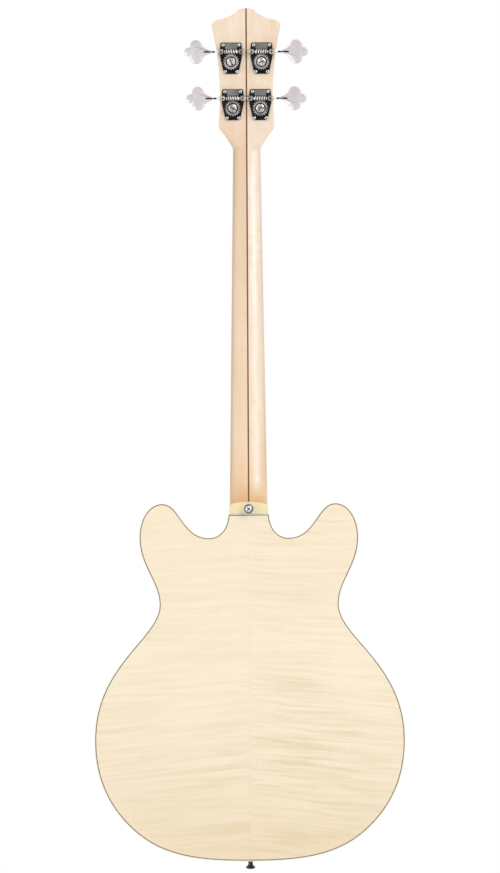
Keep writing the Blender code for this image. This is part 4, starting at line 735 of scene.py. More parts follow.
PEARL = plain("pearl_dot", "bone", (0.85, 0.84, 0.8), 0.2, coat=0.5, variation=0.1, scale=900)
BLACK = plain("black_lacquer", "black_gloss", (0.008, 0.008, 0.009), 0.15, coat=0.15, variation=0.15)
BLACK_PLASTIC = plain("black_plastic", "black_gloss", (0.02, 0.02, 0.021), 0.3, variation=0.1)
CHROME = metal("bright_chrome", "chrome", (0.6, 0.6, 0.62), 0.12, 0.05, span=0.04)
KEY_METAL = metal("key_nickel", "chrome", (0.63, 0.59, 0.6), 0.36, 0.05, span=0.06)
# Painted reflection: the button, dome and end button metals vary strongly at a fine scale, with dark and
# bright blotches that stand for what their chrome reflects.
BUTTON_METAL = metal("button_metal", "chrome", (0.2, 0.19, 0.19), 0.14, 0.6, 1600, 0.05)
BRIGHT_METAL = metal("polished_screw", "chrome", (0.85, 0.84, 0.84), 0.12, 0.05, span=0.04)
DOME_METAL = metal("dome_painted_reflections", "chrome", (0.5, 0.48, 0.46), 0.16, 0.75, 2600, 0.06)
END_METAL = metal("end_button_metal", "chrome", (0.06, 0.055, 0.05), 0.12, 0.8, 1800, 0.05)
WORM_METAL = metal("worm_steel", "chrome", (0.8, 0.78, 0.74), 0.2, 0.1, span=0.06)
STEEL = metal("plain_steel", "chrome", (0.5, 0.5, 0.52), 0.4, 0.08)
NICKEL = metal("dark_nickel", "aged_nickel", (0.014, 0.014, 0.017), 0.22, 0.35, 500)
STRIP_NICKEL = metal("worn_nickel", "aged_nickel", (0.2, 0.195, 0.18), 0.28, 0.3, 900, 0.1)
LUG_METAL = metal("lug_metal", "aged_nickel", (0.42, 0.4, 0.37), 0.2, 0.5, 1400, 0.1)
GEAR_METAL = metal("gear_metal", "aged_nickel", (0.34, 0.33, 0.31), 0.24, 0.5, 1000, 0.12)
# Painted shade and painted reflection: a near-black metal for the dark pieces that stand in for shade in
# screw recesses, slots, gaps and holes, and for the dark reflection along the key stems.
PAINTED_SHADE_AND_REFLECTION = metal("painted_shade_and_dark_reflection", "aged_nickel", (0.012, 0.012, 0.014), 0.3, 0.2, 600, 0.1)
STRING_METAL = wound_steel()


# Body

OUTLINE = body_outline(OUTLINE_DENSITY)
DENSE = np.array(body_outline(8))
DENSE_STEP = np.linalg.norm(np.roll(DENSE, -1, 0) - DENSE, axis=1)


def arch(points):
    """Rise of an arched plate above its rim, with a soft start."""
    points = np.atleast_2d(points)
    gaps = np.sqrt(((points[:, None, :] - DENSE[None]) ** 2).sum(2))
    distance = (2 / math.pi * (DENSE_STEP / np.maximum(gaps, 0.5 * MM) ** 4).sum(1)) ** (-1 / 3)

    def ramp(d):
        d = d - ARCH_MARGIN
        return (d + np.sqrt(d * d + ARCH_SOFT**2)) / 2

    t = np.clip((ramp(distance) - ramp(0.0)) / ARCH_RUN, 0, 1)
    return ARCH_RISE * (1 - (1 - t) ** 2)


def arch_points(loop, holes):
    """Points of a triangular grid inside the loop and clear of its edge and of the holes."""
    row_height = ARCH_GRID * math.sqrt(3) / 2
    rows = np.arange(1, int(BODY_LENGTH * 1.05 / row_height) + 1)
    wide = int(BODY_HALF_WIDTH / ARCH_GRID)
    shifts = {r: ARCH_GRID / 2 if r % 2 else 0 for r in rows}
    grid = [(c * ARCH_GRID + shifts[r], r * row_height) for r in rows for c in range(-wide - 1, wide + 2)]
    grid = np.array(grid)
    grid = grid[inside(grid, loop)]
    for other in (loop, *holes):
        away = np.sqrt(((grid[:, None, :] - np.array(other)[None]) ** 2).sum(2)).min(1)
        grid = grid[away > ARCH_GRID * 0.45]
    for hole in holes:
        grid = grid[~inside(grid, hole)]
    return [tuple(p) for p in grid]


def to_body(x, z):
    return (x, z - BODY_BOTTOM_Z)


def f_hole(side):
    keys = [
        (-6.5, 58, 180, 0, 5),
        (-15, 50, 270, 5, 5),
        (-8.5, 43.5, 0, 4, 4),
        (-3.5, 48.5, 75, 4, 3),
        (-1.5, 51.5, 0, 2.5, 2),
        (2, 42, 262, 6, 14),
        (-7.5, 0, 262, 16, 20),
        (-4, -50, 300, 16, 6),
        (6.5, -58, 0, 8, 5),
    ]
    half = chain(keys, (7, 7, 6, 4, 4, 8, 10, 6))[:-1]
    slant = math.radians(-8)
    placed = []
    for x, y in half + [(-x, -y) for x, y in half]:
        u = x * math.cos(slant) - y * math.sin(slant)
        v = x * math.sin(slant) + y * math.cos(slant)
        placed.append((side * (SOUND_HOLE[0] + u), SOUND_HOLE[1] + v))
    return placed if side > 0 else placed[::-1]


def neck_half(z):
    return NUT_HALF + (HEEL_HALF - NUT_HALF) * z / JOINT_Z


def tongue_space():
    """The room that the top's end leaves for the neck's tenon."""
    half = neck_half(TENON_END_Z) + 0.3 * MM
    low, high = TENON_END_Z - 0.3 * MM, JOINT_Z + 30 * MM
    return cutter("tongue_cutter", box(-half, half, TENON_STEP_Y - 0.25 * MM, 5 * MM, low, high))


def make_plates(tongue):
    loop = offset_loop(OUTLINE, BINDING + PURFLING + PLATE_SEAM)[::2]
    bands = [offset_loop(loop, d * MM)[::k] for d, k in ((3, 1), (7, 1), (11.5, 1), (17, 2))]
    edge = [p for band in bands for p in band]
    grid = edge + arch_points(bands[-1], [])
    back = slab([loop], lambda p: RIM_BACK_Y - arch(p), lambda p: RIM_BACK_Y + PLATE - arch(p), grid)
    piece("back_plate_arched", back, BACK_MAPLE, BODY, replaces=("back_plate",))
    half_x, half_z = PICKUP_HALF_WIDTH + PICKUP_PLAY, PICKUP_HALF_LENGTH + PICKUP_PLAY
    pickups = [rounded_rectangle(half_x, half_z, 4 * MM, to_body(0, z), 3) for z in PICKUP_Z.values()]
    bores = [(spot, 5.1 * MM) for spot in KNOBS.values()]
    bores += [(SWITCH_SPOT, 6.3 * MM), (JACK_SPOT, 5.3 * MM)]
    rounds = [circle(to_body(*spot), radius, 20) for spot, radius in bores]
    holes = [f_hole(1), f_hole(-1), *pickups, *rounds]
    grid = edge + arch_points(bands[-1], holes)
    top = slab([loop, *holes], lambda p: RIM_TOP_Y - PLATE + arch(p), lambda p: RIM_TOP_Y + arch(p), grid)
    cut(piece("top_plate_arched", top, TOP_MAPLE, BODY, replaces=("top_plate",)), tongue)


def make_edges(tongue):
    """Ivory binding with a rounded outer edge and the dark line inside it, front and back."""
    for name, face, inward in (("back", RIM_BACK_Y, 1), ("top", RIM_TOP_Y, -1)):
        deep = face + inward * PLATE
        outer = mm([(0, inward * 0.9), (0.12, inward * 0.4), (0.45, inward * 0.08), (0.9, 0)], v=face)
        shape = ring(OUTLINE, [(0, deep), *outer, (BINDING, face), (BINDING, deep)])
        binding = piece("binding_ivory_" + name, shape, IVORY, BODY, replaces=("binding_" + name,))
        start, end = BINDING + 0.02 * MM, BINDING + PURFLING
        shape = ring(OUTLINE, [(start, deep), (start, face), (end, face), (end, deep)])
        line = piece("purfling_line_" + name, shape, PURFLE, BODY)
        if name == "top":
            cut(binding, tongue)
            cut(line, tongue)


def make_sides():
    """Bent sides with kerfed linings, and the blocks that close the body's end beside the heel."""
    low, high = RIM_BACK_Y + PLATE + 0.1 * MM, RIM_TOP_Y - PLATE - 0.1 * MM
    wall, ledge = offset_loop(OUTLINE, SIDE_WALL), offset_loop(OUTLINE, LINING_LEDGE)
    half_count = len(body_half_outline(OUTLINE_DENSITY))
    for name, side, indices in (
        ("side_bass", 1, list(range(half_count))),
        ("side_treble", -1, [0, *range(len(OUTLINE) - 1, half_count - 1, -1)]),
    ):
        verts = []
        for i in indices:
            section = (
                (OUTLINE[i], low), (OUTLINE[i], high), (ledge[i], high), (ledge[i], high - LINING_LIP),
                (wall[i], high - LINING_SLOPE_END), (wall[i], low + LINING_SLOPE_END),
                (ledge[i], low + LINING_LIP), (ledge[i], low),
            )
            verts += [(side * 0.05 * MM if i == 0 else x, y, w) for (x, y), w in section]
        shape = (verts, lofted_faces(len(indices), 8))
        piece(name + "_bent", shape, SIDE_MAPLE, BODY, replaces=(name,))
        inner, corner, end = 20.2 * MM, CUTAWAY_END_HALF, BODY_LENGTH - 0.05 * MM
        deep = end - 3.1 * MM
        cheek = [(inner, end), (inner, deep), (corner - 3.15 * MM, deep), (corner - 0.05 * MM, end)]
        cheek = [(side * x, v) for x, v in cheek]
        piece(name + "_cheek", slab([cheek], low, high), SIDE_MAPLE, BODY)


# Neck and head


def rounded_rim(half_width, depth, squareness):
    """Half of the neck's section from the stripe round to the stripe; squareness 2 is an ellipse."""
    inner = STRIPE_HALF + STRIPE_GAP
    top = -0.1 * MM
    points = [(inner, top)]
    for i in range(RIM_STEPS):
        a = math.pi / 2 * i / (RIM_STEPS - 1)
        reach = math.cos(a) ** (2 / squareness) if i < RIM_STEPS - 1 else 0
        drop = (depth + top) * math.sin(a) ** (2 / squareness)
        points.append((inner + (half_width - inner) * reach, top - drop))
    return points


def tenon_rim(z):
    inner, wide, top = STRIPE_HALF + STRIPE_GAP, neck_half(z), -0.1 * MM
    corners = [(inner, top), (wide, top), (wide, TENON_STEP_Y), (TENON_HALF, TENON_STEP_Y)]
    run = RIM_STEPS - len(corners)
    fall = TENON_DEPTH + TENON_STEP_Y
    corners += [(TENON_HALF, TENON_STEP_Y - fall * (i + 1) / run) for i in range(run)]
    return corners + [(inner, -TENON_DEPTH)]


def smooth(t):
    return t * t * (3 - 2 * t)


def neck_sections():
    """Sections of the neck's half from the tenon to the head's end, each with its placing."""
    sections = []

    def upright(z, rim):
        sections.append((Matrix.Translation((0, 0, z)), rim))

    cap_z = JOINT_Z + CAP_LENGTH
    for z in (TENON_END_Z, HEEL_START_Z):
        upright(z, tenon_rim(z))
    for share, squareness in ((0, 30), (0.3, 20), (0.6, 12), (0.85, 7), (1, 5)):
        z = HEEL_START_Z + (cap_z - HEEL_START_Z) * share
        upright(z, rounded_rim(neck_half(z), HEEL_DEPTH, squareness))
    heel_run, drop = 36 * MM, HEEL_DEPTH - NECK_DEPTH_HEEL
    for i in range(1, 17):
        t = i / 16
        z = cap_z + heel_run * t
        fall = drop * (1 - (1 - t) ** 2.6 * (1 + 1.1 * t)) if t < 1 else drop
        upright(z, rounded_rim(neck_half(z), HEEL_DEPTH - fall, 5 - 2.7 * smooth(min(t * 1.15, 1))))
    for z_mm in (-420, -380, -330, -280, -230, -180, -130, -90, -60, -40, -26, -16, -8, -4):
        z = z_mm * MM
        depth = NECK_DEPTH_NUT + (NECK_DEPTH_HEEL - NECK_DEPTH_NUT) * z / cap_z
        upright(z, rounded_rim(neck_half(z), depth, 2.3 + 0.3 * smooth(max(0, 1 + z_mm / 26))))
    for width, v in head_half_outline(3)[1:]:
        squareness = min(2.7 + max(v / MM - 2, 0) * 0.55, 24)
        rim = rounded_rim(max(width, 2.2 * MM), HEAD_THICKNESS, squareness)
        sections.append((HEAD @ facing_at(0, v, -VENEER), rim))
    return sections


def make_neck():
    sections = neck_sections()
    channel = box(-3.2 * MM, 3.2 * MM, -10.5 * MM, 1 * MM, JOINT_Z + 20 * MM, 14 * MM)
    pocket = box(-6.5 * MM, 6.5 * MM, 9 * MM, 36 * MM, -10 * MM, 1 * MM)
    cutters = [cutter("channel_cutter", channel), cutter("pocket_cutter", pocket, HEAD)]
    drills = [rod(POST_HOLE, -30 * MM, 10 * MM, 24, (u, v, 0)) for u, v, _ in TUNER_SPOTS.values()]
    drill = cutter("post_drill", joined(*drills), HEAD)
    for name, side, material in (("bass", 1, NECK_BASS_PAINTED_LIGHT_AND_SHADE), ("treble", -1, NECK_TREBLE_PAINTED_SHADE)):
        verts = [tuple(matrix @ Vector((side * x, y, 0))) for matrix, rim in sections for x, y in rim]
        shape = (verts, lofted_faces(len(sections), len(sections[0][1])))
        node = "neck_" + name + "_half"
        cut(piece("neck_" + name + "_maple", shape, material, replaces=(node,), sharp=42), *cutters, drill)
    verts = []
    for matrix, rim in sections:
        front, back = rim[0][1], rim[-1][1] - 0.03 * MM
        for side, y in ((-1, front), (1, front), (1, back), (-1, back)):
            verts.append(tuple(matrix @ Vector((side * STRIPE_HALF, y, 0))))
    shape = (verts, lofted_faces(len(sections), 4))
    cut(piece("neck_walnut_stripe", shape, WALNUT, replaces=("neck_stripe",)), *cutters)
    return cutters[1]


def make_heel_cap():
    keys = [(25.4, 0.03, 90, 0, 4), (25.2, 11, 95, 4, 2), (0, CAP_LENGTH / MM, 180, 16, 0)]
    half = chain(keys, (4, 16), JOINT_Z)
    seat = -HEEL_DEPTH - 0.05 * MM
    layers = mm([(0.9, 0), (0.3, 0.25), (0, 0.9)], v=seat - CAP_THICKNESS) + [(0, seat)]
    shape = solid(half + mirrored(half[:-1]), layers)
    piece("heel_cap_plate", shape, CREAM, facing_at(0, 0, 0), replaces=("heel_cap",))


def make_head_front(pocket):
    """The black face with its post bushings, and the truss rod cover."""
    half = [(NUT_HALF, 6.2 * MM)] + [(x, v) for x, v in head_half_outline(4) if v > 8.2 * MM][:-1]
    loop = half + [(0, HEAD_LENGTH)] + mirrored(half)
    holes = [circle((u, v), POST_HOLE, 24) for u, v, _ in TUNER_SPOTS.values()]
    face = slab([loop, *holes], -VENEER + 0.05 * MM, 0)
    cut(piece("headstock_face", face, BLACK, HEAD, replaces=("headstock_veneer",)), pocket)
    bushing = mm([
        (5.3, 0.02), (7.9, 0.02), (8.0, 0.5), (7.6, 1.2), (6.7, 1.5),
        (6.3, 2.2), (6.0, 2.4), (5.5, 2.4), (5.3, 2.2),
    ])
    for letter, (u, v, _) in TUNER_SPOTS.items():
        piece("post_bushing_" + letter, turned(bushing, 32, (u, v, 0)), CHROME, HEAD)
    half = chain([(9, 7, 90, 0, 10), (8.2, 27, 90, 8, 6), (0, 41, 180, 6, 0)], (6, 10))
    cover = solid(half + mirrored(half[:-1]), mm([(0, 0.1), (0, 1.6), (0.2, 2.0), (0.6, 2.2)]))
    piece("truss_cover_plate", cover, BLACK, HEAD, replaces=("truss_rod_cover",))
    spots = mm([(0, 10.5), (0, 36)])
    screws_with_crosses("truss_cover_screws", spots, 2.2 * MM, 2.0 * MM, 0.7 * MM, 1, HEAD, "cover")


# Screws


def screw_head(centre, radius, height, up=1, sides=24):
    """A domed head standing on its centre; up is 1 or -1 along w."""
    rings = ((1.0, 0.0), (0.97, 0.4), (0.82, 0.75), (0.58, 0.92), (0.3, 0.99))
    u, v, base = centre
    verts = []
    for share, rise in rings:
        verts += [(x, y, base + up * height * rise) for x, y in circle(centre, radius * share, sides)]
    tip, foot, last = len(verts), len(verts) + 1, (len(rings) - 1) * sides
    verts += [(u, v, base + up * height), (u, v, base)]
    faces = quads(len(rings), sides)
    faces += [(last + i, last + (i + 1) % sides, tip) for i in range(sides)]
    faces += [((i + 1) % sides, i, foot) for i in range(sides)]
    return verts, faces


def painted_recess_shade(centre, reach, half_width, low, high, turn=0.0, arms=4):
    """Painted shade in the recess of a screw: a dark cross, or a slot with two arms, between two heights."""
    corners = []
    for k in range(arms):
        a = turn + 2 * math.pi * k / arms
        out, side = Vector((math.cos(a), math.sin(a))), Vector((-math.sin(a), math.cos(a)))
        if arms == 4:
            corners.append(out * half_width - side * half_width)
        corners += [out * reach - side * half_width, out * reach + side * half_width]
    return slab([[(centre[0] + p.x, centre[1] + p.y) for p in corners]], low, high)


def screws_with_crosses(name, spots, base, radius, height, up, matrix, seed):
    """Small domed screws at the spots, each with a cross of painted shade at its own angle."""
    rng = random.Random(seed)
    heads = [screw_head((x, y, base), radius, height, up, 20) for x, y in spots]
    low, high = sorted((base + up * height * 0.55, base + up * height * 1.01))
    crosses = [painted_recess_shade(p, radius * 0.52, radius * 0.13, low, high, rng.uniform(0, 1.5)) for p in spots]
    piece(name, joined(*heads), CHROME, matrix, sharp=30)
    # The crosses are painted shade for the screws' recesses.
    piece(name + "_crosses", joined(*crosses), PAINTED_SHADE_AND_REFLECTION, matrix)


# Fingerboard, nut and strings


def fret_place(n):
    return -SCALE_LENGTH * (1 - 2 ** (-n / 12))


def board_top(x):
    return BOARD_THICKNESS - (BOARD_RADIUS - math.sqrt(BOARD_RADIUS**2 - x * x))


def fret_wire(n):
    z0 = fret_place(n)
    width = neck_half(z0) - 0.1 * MM
    angles = [math.pi * i / 8 for i in range(9)]
    section = [(-1.3 * MM * math.cos(a), 1.15 * MM * math.sin(a) ** 0.8) for a in angles]
    verts = []
    for i in range(13):
        x = width * (1 - 2 * i / 12)
        shrink = 0.55 if i in (0, 12) else 1.0
        verts += [(x, board_top(x) - 0.15 * MM + h * shrink, z0 + s * shrink) for s, h in section]
    return verts, lofted_faces(13, len(section))


def make_fingerboard():
    start, end = -0.3 * MM, fret_place(FRETS) - BOARD_PAST_LAST_FRET
    across = [1 - 2 * i / 14 for i in range(15)]
    verts = []
    for i in range(41):
        z = start + (end - start) * i / 40
        width = neck_half(z)
        verts += [(-width, 0, z), (width, 0, z)]
        verts += [(width * c, board_top(width * c), z) for c in across]
    shape = (verts, lofted_faces(41, 2 + len(across)))
    piece("fingerboard_wood", shape, ROSEWOOD, replaces=("fingerboard",))
    piece("fret_wires", joined(*[fret_wire(n) for n in range(1, FRETS + 1)]), CHROME, sharp=60)
    dots = []
    for n in DOT_FRETS:
        z = (fret_place(n) + fret_place(n - 1)) / 2
        for x in ((-9 * MM, 9 * MM) if n == 12 else (0,)):
            dots.append(moved(rod(3.0 * MM, -0.6 * MM, 0.06 * MM, 24), facing_at(x, board_top(x), z)))
    piece("pearl_dots", joined(*dots), PEARL)


def string_x(index, z):
    return (1.5 - index) * (NUT_SPACING + (BRIDGE_SPACING - NUT_SPACING) * -z / SCALE_LENGTH)


def make_nut():
    radius = 1.5 * MM
    bend = radius * 0.3
    corner = [(NUT_HALF - a, NUT_HEIGHT - b) for a, b in ((0, radius), (bend, bend), (radius, 0))]
    profile = [(-NUT_HALF, 0), (NUT_HALF, 0), *corner]
    for i, diameter in enumerate(STRING_DIAMETERS):
        x, half, floor = string_x(i, 0), diameter / 2 + 0.15 * MM, NUT_SLOT_Y + diameter / 2
        slot = [-math.pi * k / 6 for k in range(7)]
        profile.append((x + half, NUT_HEIGHT))
        profile += [(x + half * math.cos(a), floor + half * math.sin(a)) for a in slot]
        profile.append((x - half, NUT_HEIGHT))
    profile += mirrored(corner)
    soften(piece("nut_slotted", slab([profile], 0, 5.5 * MM), BONE, replaces=("nut",)), 0.2 * MM, 50)


def string_route(index):
    """Points and radii from the ball end over saddle and nut to the coil on the post."""
    radius = STRING_DIAMETERS[index] / 2
    u, v, side = TUNER_SPOTS[LETTERS[index]]
    saddle_x, nut_x = string_x(index, -SCALE_LENGTH), string_x(index, 0)
    points, radii = [], []

    def add(x, y, z, r=radius):
        points.append((x, y, z))
        radii.append(r)

    ball_back = BRIDGE_WALL_Z - 8.2 * MM
    for z, r in ((0, 0.8), (0.25, 1.9), (0.8, 2.3), (3.2, 2.3), (3.75, 1.9), (4.0, 0)):
        add(saddle_x, ANCHOR_Y, ball_back + z * MM, max(r * MM, radius))
    add(saddle_x, ANCHOR_Y, BRIDGE_WALL_Z + 2 * MM)
    top_y = SADDLE_TOP_Y + radius
    add(saddle_x, top_y - 0.15 * MM, -SCALE_LENGTH - 9.5 * MM)
    add(saddle_x, top_y, -SCALE_LENGTH - 7.5 * MM)
    for i in range(30):
        t = (i + 1) / 30
        z = -SCALE_LENGTH * (1 - t)
        add(string_x(index, z), top_y + (NUT_SLOT_Y - SADDLE_TOP_Y) * t, z)
    add(nut_x, NUT_SLOT_Y + radius - 0.3 * MM, 6.5 * MM)
    coil, rise = COIL_RADIUS + radius, 2 * radius + 0.5 * MM
    for i in range(round(2.25 * COIL_STEPS) + 1):
        a = 2 * math.pi * i / COIL_STEPS
        w = 4 * MM + radius + rise * i / COIL_STEPS
        add(*(HEAD @ Vector((u - side * coil * math.cos(a), v + coil * math.sin(a), w))))
    return points, radii


def make_strings():
    for index, letter in enumerate(LETTERS):
        shape = tube(*string_route(index), 12)
        piece("string_wound_" + letter, shape, STRING_METAL, replaces=("string_" + letter,), sharp=80)


# Tuners


def tuner_matrix(spot):
    u, v, side = spot
    return HEAD @ Matrix.Translation((u, v, 0)) @ Matrix.Diagonal((side, 1, 1, 1))


def tuner_plate_outline():
    corners = [(14.1, 25.2), (-14.1, 25.2), (-15.5, 9.0), (-9.7, -16.4), (9.7, -16.4), (15.5, 9.0)]
    loop = []
    for i, p in enumerate(corners):
        p, before, after = Vector(p), Vector(corners[i - 1]), Vector(corners[(i + 1) % len(corners)])
        reach = 2.0 if abs(p.y) > 12 else 5.0
        start, end = p + (before - p).normalized() * reach, p + (after - p).normalized() * reach
        stops = [tuple(q * MM) for q in (start, p.lerp(start, 0.45), p.lerp(end, 0.45), end)]
        loop += [stops[0], *bezier(*stops, 5)]
    return loop


def make_tuner_plate(letter, matrix):
    low, high = PLATE_TOP_W, HEAD_BACK_W - 0.05 * MM
    layers = mm([(0.45, 0), (0.12, 0.15), (0, 0.5)], v=low) + [(0, high)]
    shape = solid(tuner_plate_outline(), layers)
    obj = piece("tuner_base_" + letter, shape, NICKEL, matrix, replaces=("tuner_plate_" + letter,))
    cut(obj, cutter("tuner_hole_" + letter, rod(POST_HOLE, low - 1 * MM, high + 1 * MM, 24), matrix))
    angles = [math.pi * i / 12 for i in range(13)]
    rim = [(GEAR_TO_WORM + LUG_REACH * math.cos(a), GEAR_MID_W - LUG_REACH * math.sin(a)) for a in angles]
    lug = [(GEAR_TO_WORM - LUG_REACH, low + 0.3 * MM), (GEAR_TO_WORM + LUG_REACH, low + 0.3 * MM), *rim]
    bore = circle((GEAR_TO_WORM, GEAR_MID_W), SHAFT_RADIUS + 0.2 * MM, 24)
    spans = ((LUG_INNER, LUG_OUTER), (-LUG_OUTER, -LUG_INNER))
    lugs = joined(*[moved(slab([lug[::-1], bore], a, b), lying_at(0)) for a, b in spans])
    soften(piece("tuner_lugs_" + letter, lugs, LUG_METAL, matrix, sharp=50), 0.35 * MM, 50)
    # Painted shade: dark discs on the lugs stand in for the shade inside their holes.
    pin_w = GEAR_MID_W - LUG_REACH - 0.08 * MM
    hole_shades = [rod(1.3 * MM, 0, 0.5 * MM, 16, (x * MM, GEAR_TO_WORM, pin_w)) for x in (-13.6, 13.6)]
    piece("tuner_lug_pins_" + letter, joined(*hole_shades), PAINTED_SHADE_AND_REFLECTION, matrix)
    spots = mm(((10.6, 21.9), (-10.6, 21.9), (8.0, -13.4), (-8.0, -13.4)))
    screws_with_crosses("tuner_screws_" + letter, spots, low, 2.4 * MM, 1.4 * MM, -1, matrix, letter)
    strip = rounded_rectangle(8.0 * MM, 3.9 * MM, 0.8 * MM, (0, 20.6 * MM), 4)
    pad = solid(strip, mm([(0.2, -0.3), (0, -0.15), (0, 0.3)], v=low))
    piece("tuner_strip_" + letter, pad, STRIP_NICKEL, matrix)


def gear_shape():
    """A gear whose teeth follow the worm's lead."""
    lead = math.atan(WORM_PITCH / (2 * math.pi * WORM_RADIUS))
    twist = GEAR_THICKNESS * math.tan(lead) / GEAR_RADIUS / 2
    pitch = 2 * math.pi / GEAR_TEETH
    space = TOOTH_PLAY / GEAR_RADIUS
    tip, root = GEAR_RADIUS + TOOTH_TIP, GEAR_RADIUS - TOOTH_ROOT
    flank = (
        (-0.38, root), (-0.30, root + 0.25 * MM), (-0.24, (tip + root) / 2),
        (-0.16, tip - 0.12 * MM), (-0.12, tip),
    )
    flank += tuple((-s, r) for s, r in reversed(flank))
    verts = []
    levels = 5
    for k in range(levels):
        share = k / (levels - 1) * 2 - 1
        inset = 0.15 * MM if k in (0, levels - 1) else 0
        w = GEAR_MID_W + share * GEAR_THICKNESS / 2
        for i in range(GEAR_TEETH):
            middle = math.pi / 2 + i * pitch + twist * share
            for offset, radius in flank:
                a = middle + offset * pitch - math.copysign(space / 2, offset)
                verts.append(((radius - inset) * math.cos(a), (radius - inset) * math.sin(a), w))
    return verts, lofted_faces(levels, len(flank) * GEAR_TEETH)


def make_gear(letter, matrix):
    """The gear with its hub and slotted cap screw, and a dark washer ring that is painted shade in the gap
    round the screw; the slot is painted shade too.
    """
    body = "tuner_post_" + letter
    node = "tuner_gear_" + letter
    piece("gear_teeth_" + letter, gear_shape(), GEAR_METAL, matrix, body, (node,), 30)
    low, high = GEAR_MID_W - GEAR_THICKNESS / 2, GEAR_MID_W + GEAR_THICKNESS / 2
    # Painted shade: the dark washer ring stands for the shaded gap between the screw and the gear.
    profile = [(0, 0.02), (7.3, 0.02), (7.3, -0.5), (7.1, -0.75), (6.6, -0.8), (6.2, -0.7), (0, -0.7)]
    piece("gear_washer_" + letter, turned(mm(profile, v=low), 32), PAINTED_SHADE_AND_REFLECTION, matrix, body)
    seat, height = low - 0.68 * MM, 2.0 * MM
    dome = screw_head((0, 0, seat), 6.0 * MM, height, -1, 36)
    piece("gear_screw_" + letter, dome, DOME_METAL, matrix, body, sharp=30)
    # The slot is painted shade.
    turn = math.radians(SLOT_ANGLES[letter])
    slot = painted_recess_shade((0, 0), 4.4 * MM, 0.6 * MM, seat - height, seat - height * 0.5, turn, 2)
    piece("gear_screw_slot_" + letter, slot, PAINTED_SHADE_AND_REFLECTION, matrix, body)
    hub = rod(6.2 * MM, high, PLATE_TOP_W - 0.3 * MM, 24)
    piece("gear_hub_" + letter, hub, GEAR_METAL, matrix, body)


def make_post(letter, matrix):
    profile = [(0, PLATE_TOP_W), (4.95 * MM, PLATE_TOP_W)]
    profile += mm([
        (4.95, 2.6), (4.7, 3.2), (4.1, 3.9), (4.0, 4.4), (4.0, 13.2), (4.2, 13.8),
        (4.95, 14.3), (4.95, 17.0), (4.6, 17.7), (3.9, 18.0), (0, 18.0),
    ])
    body = "tuner_post_" + letter
    obj = piece("post_turned_" + letter, turned(profile, 32), CHROME, matrix, body, (body,))
    slot = box(-1.45 * MM, 1.45 * MM, -8 * MM, 8 * MM, 12.6 * MM, 19 * MM)
    cut(obj, cutter("post_slot_" + letter, slot, matrix))


def worm_shape(steps=24):
    """Shaft and worm in one: each column is the shaft's profile at one angle, a little further on."""
    half = WORM_HALF
    tip, root = WORM_RADIUS + TOOTH_TIP, WORM_RADIUS - TOOTH_ROOT
    shares = (
        (0.10, root), (0.14, root + 0.1 * MM), (0.34, tip - 0.1 * MM), (0.39, tip),
        (0.61, tip), (0.66, tip - 0.1 * MM), (0.86, root + 0.1 * MM), (0.90, root),
    )
    before = mm([(-1.4, 0.0), (-1.4, 1.8), (-1.0, 2.2)], u=-LUG_OUTER)
    before += mm([(0.3, 2.2), (0.3, 3.0)], u=-LUG_INNER)
    before += [(-half - 1.2 * MM, 3.0 * MM), (-half - 1.0 * MM, root)]
    after = [(half + 1.0 * MM, root), (half + 1.2 * MM, 3.0 * MM)]
    after += mm([(-0.3, 3.0), (-0.3, 2.2)], u=LUG_INNER)
    shoulder = [(0.5, 2.2), (0.5, 3.0), (0.9, 3.3), (1.8, 3.3), (2.6, 2.4), (3.4, 1.9), (5.2, 1.6), (5.4, 0)]
    after += mm(shoulder, u=LUG_OUTER)
    columns = []
    for j in range(steps + 1):
        column = list(before)
        for i in range(-len(shares), (WORM_TURNS + 1) * len(shares)):
            turn, k = divmod(i, len(shares))
            share, radius = shares[k]
            x = -half + (turn + share + j / steps - 0.5) * WORM_PITCH
            if abs(x) >= half:
                x, radius = math.copysign(half, x), root
            column.append((x, radius))
        columns.append(column + after)
    n = len(columns[0])
    verts = []
    for j in range(steps):
        a = math.pi + 2 * math.pi * j / steps
        verts += [(x, r * math.cos(a), r * math.sin(a)) for x, r in columns[j]]
    first, last = len(before), len(before) + len(shares) * (WORM_TURNS + 2)

    def index(j, k):
        """Past one full turn the thread goes on in the first column, one tooth further."""
        if j < steps:
            return j * n + k
        return min(max(k + len(shares), first), last - 1) if first <= k < last else k

    faces = []
    for j in range(steps):
        for k in range(n - 1):
            corners = [index(j, k), index(j + 1, k), index(j + 1, k + 1), index(j, k + 1)]
            unique = [c for i, c in enumerate(corners) if c not in corners[:i]]
            if len(unique) > 2:
                faces.append(tuple(unique))
    return verts, faces


def key_outline(count=180):
    """The key's clover outline: the farthest reach of overlapping discs, slightly relaxed."""
    lobes = [
        (-3.6, 7.4, 8.6), (-3.6, -7.4, 8.6), (6.6, 0, 5.9), (-2.5, 0, 10.0), (-9.5, 0, 8.0),
        (-13, 0, 5.9), (-16.5, 0, 4.3), (-19.5, 0, 3.1), (-23, 0, 2.1),
    ]
    points = []
    for i in range(count):
        a = 2 * math.pi * i / count
        d = Vector((math.cos(a), math.sin(a)))
        reach = 0.0
        for x, y, r in lobes:
            c = Vector((x, y))
            under = r * r - c.length_squared + c.dot(d) ** 2
            if under > 0:
                reach = max(reach, c.dot(d) + math.sqrt(under))
        points.append(d * reach * MM)
    for _ in range(2):
        points = [(points[i - 1] + points[i] * 2 + points[(i + 1) % count]) / 4 for i in range(count)]
    return [tuple(p) for p in points]


